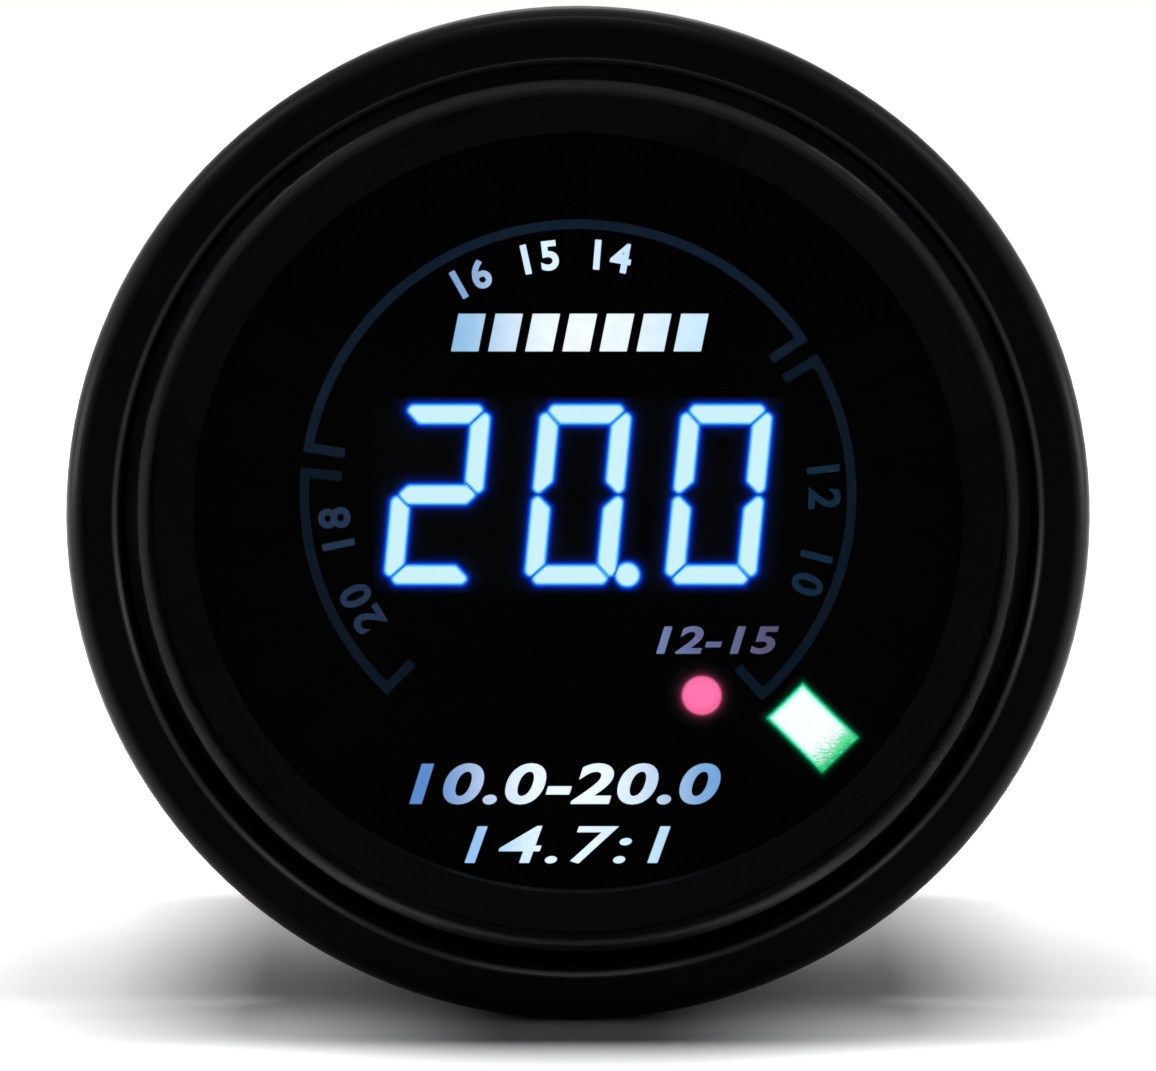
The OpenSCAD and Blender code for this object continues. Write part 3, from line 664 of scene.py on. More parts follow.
@dataclass(frozen=True)
class Metal(Finish):
    """Plated, rolled or turned metal, with lines drawn out along one axis."""

    colour: Colour
    tint: Colour
    low: float = 0.22
    high: float = 0.38
    stretch: Triple = (1.0, 0.03, 1.0)
    line_scale: float = 9000.0
    line_depth: float = 0.000006
    smudge_scale: float = 400.0
    dusty: float = 0.08

    def dress(self, surface: Surface) -> None:
        """Adds the lines, the plating's tints, smudges and dust.

        Args:
            surface: The finish's surface.
        """
        lines = surface.apply(BRUSHING, place=surface.place, stretch=self.stretch,
                              scale=self.line_scale)
        surface.dusted(surface.mix(lines.outputs["Tone"], self.colour, self.tint), self.dusty)
        surface.fill({"Metallic": 1.0})
        surface.smudged(self.smudge_scale, self.low, self.high)
        surface.embossed(lines.outputs["Height"], self.line_depth)


@dataclass(frozen=True)
class Lacquered(Finish):
    """Circuit board: green lacquer over traces, with bare fibre between."""

    colour: Colour
    copper: Colour
    trace_scale: float = 275.0
    patch_scale: float = 220.0
    trace_depth: float = 0.00002
    grain_scale: float = 3000.0
    spread: float = 0.25
    smudge_scale: float = 500.0
    low: float = 0.18
    high: float = 0.32

    def dress(self, surface: Surface) -> None:
        """Adds the traces under the lacquer and their height.

        Args:
            surface: The finish's surface.
        """
        traces: object = 0.0
        for direction in ("X", "Z"):
            wave = surface.add("TexWave", bands_direction=direction)
            surface.feed(wave.inputs["Vector"], surface.place)
            surface.feed(wave.inputs["Scale"], self.trace_scale)
            surface.feed(wave.inputs["Distortion"], 0.0)
            line = surface.rise(wave.outputs["Fac"], 0.86, 0.92)
            here = surface.rise(surface.noise(surface.place, self.patch_scale), 0.5, 0.52)
            traces = surface.math("MAXIMUM", traces, surface.math("MULTIPLY", line, here))
        tone, _ = surface.grained(self.grain_scale, self.colour,
                                  scaled(self.colour, 1 + self.spread))
        surface.fill({"Base Color": surface.mix(traces, tone, self.copper)})
        surface.smudged(self.smudge_scale, self.low, self.high)
        surface.embossed(traces, self.trace_depth)


@dataclass(frozen=True)
class Lit(Finish):
    """Dark face that gives out light, whose colour follows the piece's glow from its edge."""

    stops: Stops
    strength: float = LENS_GAIN
    patchy: float = 0.04
    patch_scale: float = 7000.0
    grain_scale: float = 6000.0
    smudge_scale: float = 600.0
    low: float = 0.4
    high: float = 0.5

    def light(self, surface: Surface) -> Socket:
        """Returns the light's colour, which the glow chooses with a little unevenness."""
        spots = surface.noise(surface.place, self.patch_scale, detail=2.0)
        return surface.ramp(surface.math("MULTIPLY_ADD", surface.math("SUBTRACT", spots, 0.5),
                                         self.patchy, surface.read(GLOW)), self.stops)

    def dress(self, surface: Surface) -> None:
        """Adds the dark face and its light.

        Args:
            surface: The finish's surface.
        """
        tone, _ = surface.grained(self.grain_scale, *UNLIT_TONES)
        surface.smudged(self.smudge_scale, self.low, self.high)
        surface.fill({"Base Color": tone, "Specular IOR Level": DULL,
                      "Emission Color": self.light(surface),
                      "Emission Strength": self.strength})


@dataclass(frozen=True)
class BarLight(Lit):
    """Light of the lit bar: its outer end is cut through by a slanting texture."""

    end_colour: Colour = WHITE
    dark_colour: Colour = BLACK
    lean: float = -12.0
    squeeze: float = 3.2
    cell_scale: float = 3600.0
    ragged: float = 0.9

    def light(self, surface: Surface) -> Socket:
        """Adds the textured outer end to the light.

        Args:
            surface: The finish's surface.

        Returns:
            The bar's colour.
        """
        turned = surface.add("Mapping")
        surface.feed(turned.inputs["Rotation"], (0.0, math.radians(self.lean), 0.0))
        surface.feed(turned.inputs["Scale"], (1.0, 1.0, self.squeeze))
        surface.feed(turned.inputs["Vector"], surface.place)
        cells = surface.noise(turned.outputs["Vector"], self.cell_scale, roughness=0.7)
        reach = surface.math("MULTIPLY_ADD", surface.math("SUBTRACT", cells, 0.5), self.ragged,
                             surface.read(ALONG))
        tone = surface.mix(surface.rise(cells, 0.4, 0.6), self.dark_colour, self.end_colour)
        inside = surface.rise(surface.read(GLOW), 0.46, 0.56)
        end = surface.math("MULTIPLY", surface.rise(reach, 0.7, 0.98), inside)
        return surface.mix(end, super().light(surface), tone)


@dataclass(frozen=True)
class Printed(Finish):
    """Printed legend, lit from behind: a tone in the middle and two at its ends."""

    centre: Colour
    start: Colour
    end: Colour
    middle: float = 0.0
    reach: float = 0.01
    strength: float = LENS_GAIN
    smudge_scale: float = 900.0
    low: float = 0.5
    high: float = 0.6

    def dress(self, surface: Surface) -> None:
        """Adds the print's light over dark ink.

        Args:
            surface: The finish's surface.
        """
        printed = surface.apply(SHINE, place=surface.place, middle=self.middle,
                                reach=self.reach, centre=self.centre, start=self.start,
                                end=self.end)
        surface.smudged(self.smudge_scale, self.low, self.high)
        surface.fill({"Base Color": DARK_INK, "Specular IOR Level": DULL,
                      "Emission Color": printed.outputs["Colour"],
                      "Emission Strength": self.strength})


@dataclass(frozen=True)
class LitResin(Finish):
    """Tinted lamp resin that glows, brightest round its axis."""

    colour: Colour
    edge: Colour
    spot: Triple
    radius: float
    strength: float = LENS_GAIN
    cloud_scale: float = 2500.0
    cloudy: float = 0.25
    roughness: float = 0.25

    def dress(self, surface: Surface) -> None:
        """Adds the glow round the lamp's axis.

        Args:
            surface: The finish's surface.
        """
        offset = surface.vector("SUBTRACT", surface.place, self.spot)
        flat = surface.vector("MULTIPLY", offset, ACROSS)
        away = surface.math("DIVIDE", surface.vector("LENGTH", flat), self.radius)
        cloud = surface.math("SUBTRACT", surface.noise(surface.place, self.cloud_scale), 0.5)
        away = surface.math("MULTIPLY_ADD", cloud, self.cloudy, away)
        tone = surface.mix(surface.rise(away, 0.55, 1.1), self.colour, self.edge)
        surface.fill({"Base Color": tone, "Emission Color": tone,
                      "Roughness": self.roughness, "Specular IOR Level": DULL,
                      "Emission Strength": self.strength})


BEZEL_RADIUS = 0.0285
LIP_RADIUS = 0.02555
LENS_EDGE_RADIUS = 0.0244

# The bezel's glow is painted light that lifts its flat face; its coat bands are polished edges
# whose weights by height paint the rim and lip highlights.
BEZEL = Moulded("bezel_plastic", (0.0008, 0.0008, 0.0009, 1.0), low=0.3, high=0.36,
                specular=0.012, grain_depth=0.000003, dusty=0.0, glow=0.0003,
                bands=(Band(BEZEL_RADIUS, 0.0011, 0.62, 0.0051, 0.0056, top=0.3),
                       Band(LIP_RADIUS + 0.0002, 0.00022, 0.38, floor=0.45)),
                coat_roughness=0.25)
# The lens's coat band is a polished edge whose weight, stronger towards the bottom, paints its
# highlight.
LENS = Smoked("lens_plastic", LENS_TINT, low=0.0, high=0.02, ior=1.04,
              bands=(Band(LENS_EDGE_RADIUS, 0.0007, 0.38, floor=4.5, low=-0.0244,
                          high=-0.0165),), coat_roughness=0.2)
SEAL = Moulded("seal_rubber", (0.012, 0.012, 0.012, 1.0), low=0.6, high=0.75, specular=0.3)
# The visor's glow is painted light: emission standing in for the dial's light falling on it.
VISOR = Moulded("visor_plastic", (0.006, 0.006, 0.006, 1.0), low=0.6, high=0.7,
                specular=0.03, dusty=0.0, glow=0.0014 * LENS_GAIN)
DIAL = Moulded("dial_film", (0.0015, 0.0015, 0.002, 1.0), low=0.55, high=0.65, specular=0.02,
               grain_scale=9000.0, grain_depth=0.000002, dusty=0.0)
GUIDE = Moulded("smoked_guide", (0.0018, 0.0019, 0.002, 1.0), low=0.45, high=0.55,
                specular=0.025, dusty=0.0)
LIGHT_BOX = Moulded("white_moulding", (0.72, 0.72, 0.7, 1.0), low=0.4, high=0.5)
DISPLAY_CUP = Moulded("display_cup", (0.006, 0.006, 0.007, 1.0), low=0.3, high=0.4,
                      specular=0.1, dusty=0.0)
PIPES = Moulded("milky_pipes", (0.5, 0.58, 0.6, 1.0), low=0.2, high=0.3, dusty=0.0)
TINNED = Metal("tinned_wire", (0.72, 0.72, 0.7, 1.0), (0.62, 0.63, 0.64, 1.0))
BOARD = Lacquered("board_lacquer", (0.012, 0.085, 0.035, 1.0), (0.06, 0.19, 0.07, 1.0))
LAMP_RESIN = Moulded("lamp_resin", (0.78, 0.72, 0.38, 1.0), low=0.15, high=0.25)
CHIP = Moulded("chip_resin", (0.02, 0.02, 0.021, 1.0), low=0.45, high=0.6)
CAN = Metal("capacitor_can", (0.74, 0.74, 0.76, 1.0), (0.66, 0.66, 0.7, 1.0), low=0.25,
            high=0.35)
HEADER = Moulded("header_plastic", (0.015, 0.015, 0.016, 1.0), low=0.4, high=0.5)
POSTS = Metal("turned_brass_posts", (0.72, 0.52, 0.22, 1.0), (0.62, 0.44, 0.18, 1.0))
BARREL = Moulded("barrel_plastic", (0.006, 0.006, 0.0065, 1.0), low=0.38, high=0.5,
                 specular=0.22, grain_depth=0.00001, dusty=0.03)
COVER = Moulded("cover_plastic", (0.007, 0.007, 0.0075, 1.0), low=0.42, high=0.55,
                specular=0.26, grain_scale=3200.0, grain_depth=0.000014, dusty=0.03)
SOCKET = Moulded("socket_nylon", (0.68, 0.64, 0.53, 1.0), low=0.35, high=0.5,
                 grain_scale=2600.0)
GILT = Metal("gilt_pins", (0.85, 0.66, 0.3, 1.0), (0.75, 0.58, 0.26, 1.0), low=0.15, high=0.25)
SCREWS = Metal("screw_plating", (0.5, 0.5, 0.52, 1.0), (0.42, 0.43, 0.46, 1.0))
STUDS = Metal("stud_plating", (0.58, 0.58, 0.58, 1.0), (0.5, 0.51, 0.55, 1.0), low=0.25,
              high=0.4)
LOCK_NUTS = Metal("lock_nut_plating", (0.6, 0.6, 0.6, 1.0), (0.5, 0.52, 0.56, 1.0))
BRACKET = Metal("rolled_strip", (0.56, 0.56, 0.57, 1.0), (0.47, 0.49, 0.53, 1.0), low=0.24,
                high=0.42, stretch=(0.04, 1.0, 1.0))
WASHERS = Metal("spring_steel", (0.4, 0.4, 0.41, 1.0), (0.32, 0.33, 0.36, 1.0))
THUMB_NUTS = Metal("turned_brass", (0.74, 0.55, 0.25, 1.0), (0.62, 0.45, 0.19, 1.0), low=0.2,
                   high=0.36)


# Modelling

FRONT_NORMAL = 0.9
CUT_THRESHOLD = 0.00001
THREAD_MERGE = 0.0005
COPY_MERGE = 0.002
FLAT_ANGLE = 0.5
CORNER_STEPS = 4
EDGE_STEPS = 2
BLOCK_SPARE = 0.4


def pick_only(piece: Piece) -> None:
    """Selects one piece and makes it the active one.

    Args:
        piece: The piece.
    """
    bpy.ops.object.select_all(action="DESELECT")
    piece.select_set(True)
    bpy.context.view_layer.objects.active = piece


def named(name: str) -> Piece:
    """Names the piece that was just added, and its mesh.

    Args:
        name: The name.

    Returns:
        The piece.
    """
    piece = bpy.context.view_layer.objects.active
    piece.name = name
    piece.data.name = name
    return piece


def settle(piece: Piece) -> None:
    """Puts a piece's place, turn and scale into its mesh."""
    pick_only(piece)
    bpy.ops.object.transform_apply(location=True, rotation=True, scale=True)


@contextmanager
def editing(piece: Piece) -> Iterator[None]:
    """Opens a piece in edit mode with all of it selected, and closes it again.

    Args:
        piece: The piece.
    """
    pick_only(piece)
    bpy.ops.object.mode_set(mode="EDIT")
    bpy.ops.mesh.select_all(action="SELECT")
    yield
    bpy.ops.object.mode_set(mode="OBJECT")


@contextmanager
def picking(piece: Piece, pick: Pick, wanted: Callable[[object], bool]) -> Iterator[None]:
    """Opens a piece in edit mode with only what is wanted selected, and closes it again.

    Args:
        piece: The piece.
        pick: Whether vertices, edges or faces are selected.
        wanted: Says of one of them whether it is selected.
    """
    pick_only(piece)
    bpy.context.tool_settings.mesh_select_mode = pick.value
    mesh = piece.data
    kinds = {Pick.VERTICES: mesh.vertices, Pick.EDGES: mesh.edges, Pick.FACES: mesh.polygons}
    for kind in kinds.values():
        kind.foreach_set("select", [False] * len(kind))
    for item in kinds[pick]:
        item.select = wanted(item)
    bpy.ops.object.mode_set(mode="EDIT")
    yield
    bpy.ops.object.mode_set(mode="OBJECT")


def inset_front(piece: Piece, width: float) -> None:
    """Insets a piece's front, which lies before the rest of it, by a width."""
    with picking(piece, Pick.FACES, lambda face: face.normal.z > FRONT_NORMAL):
        bpy.ops.mesh.inset(thickness=width)


def cut_planes(piece: Piece, planes: Sequence[tuple[Vector, Vector]],
               fill: bool = True) -> None:
    """Cuts a piece at planes; what lies on the side of each plane's normal goes.

    Args:
        piece: The piece.
        planes: A point and a normal for each plane.
        fill: Closes each cut.
    """
    with editing(piece):
        for point, normal in planes:
            bpy.ops.mesh.select_all(action="SELECT")
            bpy.ops.mesh.bisect(plane_co=point, plane_no=normal.normalized(), use_fill=fill,
                                clear_outer=True, threshold=CUT_THRESHOLD)


def modify(piece: Piece, kind: str, **settings: object) -> None:
    """Adds a modifier with its settings and applies it.

    Args:
        piece: The piece.
        kind: Type of the modifier.
        settings: Its properties.
    """
    pick_only(piece)
    modifier = piece.modifiers.new(kind.lower(), kind)
    for name, value in settings.items():
        setattr(modifier, name, value)
    bpy.ops.object.modifier_apply(modifier=modifier.name)


def prism(name: str, outline: Sequence[Point2], back: float, front: float) -> Piece:
    """Cuts a prism with a convex outline out of a block.

    Args:
        name: Name of the piece.
        outline: Corners in millimetres, in order either way round.
        back: Depth of its back.
        front: Depth of its front.

    Returns:
        The prism.
    """
    across, up = zip(*outline)
    low = Vector((min(across) - BLOCK_SPARE, min(up) - BLOCK_SPARE, back))
    high = Vector((max(across) + BLOCK_SPARE, max(up) + BLOCK_SPARE, front))
    bpy.ops.mesh.primitive_cube_add(size=1, location=(low + high) / 2, scale=high - low)
    piece = named(name)
    settle(piece)
    pairs = list(zip(outline, [*outline[1:], outline[0]]))
    turn = math.copysign(1.0, sum(a[0] * b[1] - a[1] * b[0] for a, b in pairs))
    cut_planes(piece, [
        (Vector((*a, 0.0)), Vector(((b[1] - a[1]) * turn, (a[0] - b[0]) * turn, 0.0)))
        for a, b in pairs])
    return piece


def ring_sheet(name: str, inner: float, outer: float, rings: int, depth: float,
               sides: int, centre: Point2 = (0.0, 0.0)) -> Piece:
    """Makes a flat ring of a few rings of faces, by insetting a disc.

    Args:
        name: Name of the piece.
        inner: Inner radius in millimetres.
        outer: Outer radius.
        rings: Number of rings of faces.
        depth: Its depth.
        sides: Number of sides.
        centre: Its centre.

    Returns:
        The ring.
    """
    bpy.ops.mesh.primitive_circle_add(vertices=sides, radius=outer, fill_type="NGON",
                                      location=(*centre, depth))
    piece = named(name)
    settle(piece)
    step = (outer - inner) * math.cos(math.pi / sides) / rings
    with picking(piece, Pick.FACES, lambda face: True):
        for _ in range(rings):
            bpy.ops.mesh.inset(thickness=step)
        bpy.ops.mesh.delete(type="ONLY_FACE")
    return piece


def grid_sheet(name: str, size: Point2, step: float) -> Piece:
    """Makes a flat grid of faces about the origin.

    Args:
        name: Name of the piece.
        size: Width and height in millimetres.
        step: Size of its faces, about.

    Returns:
        The grid.
    """
    bpy.ops.mesh.primitive_grid_add(x_subdivisions=round(size[0] / step),
                                    y_subdivisions=round(size[1] / step), size=1)
    piece = named(name)
    piece.scale = (*size, 1.0)
    settle(piece)
    return piece


def thicken(piece: Piece, thickness: float) -> None:
    """Gives a sheet a thickness in front of where it lies."""
    modify(piece, "SOLIDIFY", thickness=thickness, offset=1.0)


def join(name: str, pieces: Sequence[Piece]) -> Piece:
    """Joins pieces into one.

    Args:
        name: Name of the joined piece.
        pieces: The pieces.

    Returns:
        The joined piece.
    """
    pick_only(pieces[0])
    for piece in pieces[1:]:
        piece.select_set(True)
    bpy.ops.object.join()
    return named(name)


def points_of(piece: Piece) -> np.ndarray:
    """Reads where a piece's vertices are.

    Args:
        piece: The piece.

    Returns:
        The x, y and z of each vertex, one row each.
    """
    values = np.zeros(len(piece.data.vertices) * 3)
    piece.data.vertices.foreach_get("co", values)
    return values.reshape(-1, 3)


def write(piece: Piece, name: str, values: np.ndarray) -> None:
    """Writes one number for each vertex of a piece as an attribute."""
    layer = piece.data.attributes.new(name, "FLOAT", "POINT")
    layer.data.foreach_set("value", values.astype(np.float32))


def signed_distance(points: np.ndarray, outline: Sequence[Point2]) -> np.ndarray:
    """Measures how far points lie from a convex outline, less than 0 inside it.

    Args:
        points: The points, one row each.
        outline: Corners of the outline.

    Returns:
        The distance of each point.
    """
    corners = np.array(outline)
    edges = np.roll(corners, -1, axis=0) - corners
    offsets = points[:, None, :2] - corners[None]
    share = np.clip((offsets * edges).sum(-1) / (edges ** 2).sum(-1), 0, 1)
    away = np.linalg.norm(offsets - share[..., None] * edges, axis=-1).min(axis=1)
    turn = edges[:, 0] * offsets[..., 1] - edges[:, 1] * offsets[..., 0]
    inside = (turn >= 0).all(axis=1) | (turn <= 0).all(axis=1)
    return np.where(inside, -away, away)


def rounded_distance(points: np.ndarray, outline: Sequence[Point2], radius: float) -> np.ndarray:
    """Measures as signed_distance does, from the outline with its corners rounded.

    Args:
        points: The points, one row each.
        outline: Corners of the outline.
        radius: Radius of its rounded corners.

    Returns:
        The distance of each point.
    """
    corners = np.array(outline)
    edges = np.roll(corners, -1, axis=0) - corners
    turn = math.copysign(1.0, float((corners[:, 0] * edges[:, 1]
                                     - corners[:, 1] * edges[:, 0]).sum()))
    inward = np.stack([-edges[:, 1], edges[:, 0]], axis=1) * turn
    inward /= np.linalg.norm(inward, axis=1)[:, None]
    levels = (inward * corners).sum(axis=1) + radius
    inner = [np.linalg.solve(np.array([inward[i - 1], inward[i]]),
                             np.array([levels[i - 1], levels[i]]))
             for i in range(len(corners))]
    return signed_distance(points, inner) - radius


def round_corners(piece: Piece, radius: float) -> None:
    """Rounds the upright edges of a prism.

    Args:
        piece: The prism.
        radius: Radius of its corners in millimetres.
    """
    def upright(edge: bpy.types.MeshEdge) -> bool:
        """Tells whether an edge runs from the back to the front."""
        first, last = (piece.data.vertices[i].co for i in edge.vertices)
        return (first.xy - last.xy).length < abs(first.z - last.z)

    with picking(piece, Pick.EDGES, upright):
        bpy.ops.mesh.bevel(offset=radius, segments=CORNER_STEPS, affect="EDGES")


def seat(piece: Piece, body: Body, finish: Finish, smooth: float = 30.0) -> Piece:
    """Turns a piece from the dial's frame into the row's frame and hands it over.

    Args:
        piece: The piece, drawn in millimetres with its front towards the driver.
        body: The body it rides on.
        finish: Its finish.
        smooth: Angle in degrees up to which edges are smooth.

    Returns:
        The piece.
    """
    piece.scale = (MM, MM, MM)
    piece.rotation_euler = (math.pi / 2, 0.0, 0.0)
    settle(piece)
    bpy.ops.object.shade_smooth_by_angle(angle=math.radians(smooth))
    return hand_over(piece, body, finish)


def hand_over(piece: Piece, body: Body, finish: Finish) -> Piece:
    """Gives a piece that is in place its finish and body, and logs it.

    Args:
        piece: The piece.
        body: The body it rides on.
        finish: Its finish.

    Returns:
        The piece.
    """
    piece.data.materials.clear()
    piece.data.materials.append(finish.material())
    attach(piece, body.value)
    log.info("%s: %d faces, %s, rides on %s", piece.name, len(piece.data.polygons),
             finish.name, body.value)
    return piece


def dress(finish: Finish, *nodes: str) -> None:
    """Gives CAD nodes a finish.

    Args:
        finish: The finish.
        nodes: Names of the nodes.
    """
    for name in nodes:
        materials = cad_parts[name].data.materials
        if materials:
            for index in range(len(materials)):
                materials[index] = finish.material()
        else:
            materials.append(finish.material())
        log.info("%s: %s", name, finish.name)


def softened(node: str, name: str, width: float, body: Body, finish: Finish,
             angle: float = 35.0) -> Piece:
    """Replaces a node by a copy whose sharp edges are broken.

    Args:
        node: The node.
        name: Name of the new piece.
        width: Width of the broken edges in millimetres.
        body: The body it rides on.
        finish: Its finish.
        angle: Edges sharper than this, in degrees, are broken.

    Returns:
        The new piece.
    """
    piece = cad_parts[node].copy()
    piece.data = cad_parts[node].data.copy()
    piece.parent = None
    for key in list(piece.keys()):
        del piece[key]
    bpy.context.scene.collection.objects.link(piece)
    bpy.context.view_layer.objects.active = piece
    named(name)
    piece.scale = (1 / MM, 1 / MM, 1 / MM)
    settle(piece)
    bpy.ops.mesh.customdata_custom_splitnormals_clear()
    with editing(piece):
        bpy.ops.mesh.remove_doubles(threshold=COPY_MERGE)
        bpy.ops.mesh.dissolve_limited(angle_limit=math.radians(FLAT_ANGLE))
    modify(piece, "BEVEL", width=width, segments=EDGE_STEPS, limit_method="ANGLE",
           angle_limit=math.radians(angle), use_clamp_overlap=True)
    piece.scale = (MM, MM, MM)
    settle(piece)
    bpy.ops.object.shade_smooth_by_angle(angle=math.radians(angle))
    hand_over(piece, body, finish)
    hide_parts(node)
    return piece


# Sub-assemblies

@dataclass
class Front:
    """Bezel, lens, seal and visor."""

    def build(self) -> None:
        """Dresses the front's nodes."""
        dress(BEZEL, "bezel_ring")
        dress(LENS, "lens")
        dress(SEAL, "lens_seal")
        dress(VISOR, "visor_ring")


@dataclass
class Zone:
    """Arc with a tick at each end, printed on the dial."""

    name: str
    start: float
    end: float
    tone: Colour


@dataclass
class Number:
    """Plain number printed on the dial, straight or along an arc.

    The middle and the height are in millimetres. A number on an arc has the angle of its
    middle, the radius of its characters' middles and the angle from one to the next.
    """

    name: str
    text: str
    height: float
    ink: Printed
    middle: Point2 = (0.0, 0.0)
    width: float = 0.0
    angle: float = 0.0
    radius: float = 0.0
    spacing: float = 0.0
    slant: float = 0.22
    weight: float = 0.03


@dataclass
class Dial:
    """Dial face with its zones, numbers and slanted bars, in millimetres."""

    face: float = -2.9
    ink: float = 0.03
    zone_inner: float = 15.27
    zone_outer: float = 15.81
    tick_inner: float = 13.45
    zone_steps: int = 360
    zone_start_share: float = 0.9
    zone_end_share: float = 0.95
    slash_count: int = 7
    slash_width: float = 1.55
    slash_pitch: float = 2.1
    slash_lean: float = 0.2
    slash_low: float = 8.3
    slash_high: float = 10.45
    slash_middle: float = 0.1
    letter_gap: float = 1.08
    curve_steps: int = 6
    zones: list[Zone] = field(default_factory=lambda: [
        Zone("zone_arc_left", 174.0, 226.5, shown(5, 20, 31)),
        Zone("zone_arc_top", 34.5, 170.6, shown(11, 26, 40)),
        Zone("zone_arc_right", -48.4, 31.1, shown(4, 20, 31)),
    ])

    def numbers(self) -> list[Number]:
        """Returns the dial's numbers, with the light of each."""
        white = shown(240, 250, 255)
        return [
            Number("number_range", "10.0-20.0", 2.4,
                   Printed("print_range", white, shown(92, 140, 200), shown(118, 165, 212),
                           -0.0004, 0.0086), (-0.75, -16.65), 17.8),
            Number("number_balance", "14.7:1", 2.2,
                   Printed("print_balance", shown(232, 248, 254), shown(150, 196, 240),
                           shown(190, 224, 246), -0.0006, 0.0058), (-0.6, -20.2), 11.8,
                   weight=0.01),
            Number("number_supply", "12-15", 1.62,
                   Printed("print_supply", shown(98, 104, 138), shown(112, 128, 170),
                           shown(84, 80, 108), 0.0079, 0.0036), (7.95, -8.3), 7.0),
            Number("number_middle_zone", "16 15 14", 1.7,
                   Printed("print_middle_zone", shown(222, 242, 252), shown(130, 165, 205),
                           shown(198, 226, 248), -0.0012, 0.0055),
                   angle=99.5, radius=13.85, spacing=5.6, slant=0.0),
            Number("number_left_zone", "20 18", 1.85,
                   Printed("print_left_zone", shown(31, 45, 69), shown(33, 49, 71),
                           shown(30, 38, 62)),
                   angle=198.0, radius=13.9, spacing=6.4, slant=0.0),
            Number("number_right_zone", "12 10", 1.85,
                   Printed("print_right_zone", shown(20, 34, 54), shown(24, 35, 56),
                           shown(14, 37, 56)),
                   angle=-7.5, radius=14.0, spacing=6.9, slant=0.0),
        ]

    def glyphs(self, name: str, text: str, slant: float, weight: float,
               size: Point2) -> Piece:
        """Makes characters with the built-in font, fitted to a size about the origin.

        Args:
            name: Name of the piece.
            text: The characters.
            slant: Slant as a share of the height.
            weight: How much the strokes are thickened.
            size: Width and height in millimetres, where a width of 0 keeps the shape.

        Returns:
            The characters as a mesh.
        """
        bpy.ops.object.text_add()
        curve = bpy.context.view_layer.objects.active.data
        curve.body = text
        curve.shear = slant
        curve.offset = weight
        curve.space_character = self.letter_gap
        curve.extrude = 1 / 2  # both ways, so that the scale alone gives the thickness
        curve.resolution_u = self.curve_steps
        bpy.ops.object.convert(target="MESH")
        piece = named(name)
        low, high = points_of(piece).min(axis=0), points_of(piece).max(axis=0)
        tall = size[1] / (high[1] - low[1])
        wide = size[0] / (high[0] - low[0]) if size[0] else tall
        piece.location = (-wide * (low[0] + high[0]) / 2, -tall * (low[1] + high[1]) / 2, 0.0)
        piece.scale = (wide, tall, self.ink)
        settle(piece)
        return piece

    def lay(self, piece: Piece, middle: Point2, turn: float) -> None:
        """Turns a piece and lays it on the dial's face.

        Args:
            piece: The piece, drawn about the origin.
            middle: Where its middle goes.
            turn: Its turn in radians.
        """
        piece.rotation_euler = (0.0, 0.0, turn)
        piece.location = (*middle, self.face + self.ink / 2)
        settle(piece)

    def number(self, row: Number) -> Piece:
        """Builds one number, straight or along its arc.

        Args:
            row: The number.

        Returns:
            The piece.
        """
        if not row.radius:
            piece = self.glyphs(row.name, row.text, row.slant, row.weight,
                                (row.width, row.height))
            self.lay(piece, row.middle, 0.0)
        else:
            parts = []
            for place, character in enumerate(row.text):
                if character == " ":
                    continue
                steps = place - (len(row.text) - 1) / 2
                angle = math.radians(row.angle - steps * row.spacing)
                part = self.glyphs(f"{row.name}_{place}", character, row.slant, row.weight,
                                   (0.0, row.height))
                self.lay(part, (row.radius * math.cos(angle), row.radius * math.sin(angle)),
                         angle - math.pi / 2)
                parts.append(part)
            piece = join(row.name, parts)
        return seat(piece, Body.GAUGE, row.ink)

    def zone(self, row: Zone) -> Piece:
        """Builds one arc with its two ticks.

        Args:
            row: The arc.

        Returns:
            The piece.
        """
        arc = ring_sheet(row.name, self.zone_inner, self.zone_outer, 1, self.face,
                         self.zone_steps)
        first, last = math.radians(row.start), math.radians(row.end)
        cut_planes(arc, [
            (Vector(), Vector((math.sin(first), -math.cos(first), 0.0))),
            (Vector(), Vector((-math.sin(last), math.cos(last), 0.0)))], fill=False)
        thicken(arc, self.ink)
        width = self.zone_outer - self.zone_inner
        ticks = [self.tick(f"{row.name}_start", first, width),
                 self.tick(f"{row.name}_end", last, -width)]
        ink = Printed(f"print_{row.name}", row.tone, scaled(row.tone, self.zone_start_share),
                      scaled(row.tone, self.zone_end_share))
        return seat(join(row.name, [arc, *ticks]), Body.GAUGE, ink)

    def tick(self, name: str, angle: float, width: float) -> Piece:
        """Builds a tick that runs in from an arc's end, to one side of its ray.

        Args:
            name: Name of the piece.
            angle: Angle of the arc's end in radians.
            width: Its width, less than 0 on the other side of the ray.

        Returns:
            The tick.
        """
        out = Vector((math.cos(angle), math.sin(angle)))
        side = Vector((-out.y, out.x)) * width
        corners = [out * self.tick_inner, out * self.zone_inner,
                   out * self.zone_inner + side, out * self.tick_inner + side]
        return prism(name, [tuple(c) for c in corners], self.face, self.face + self.ink)

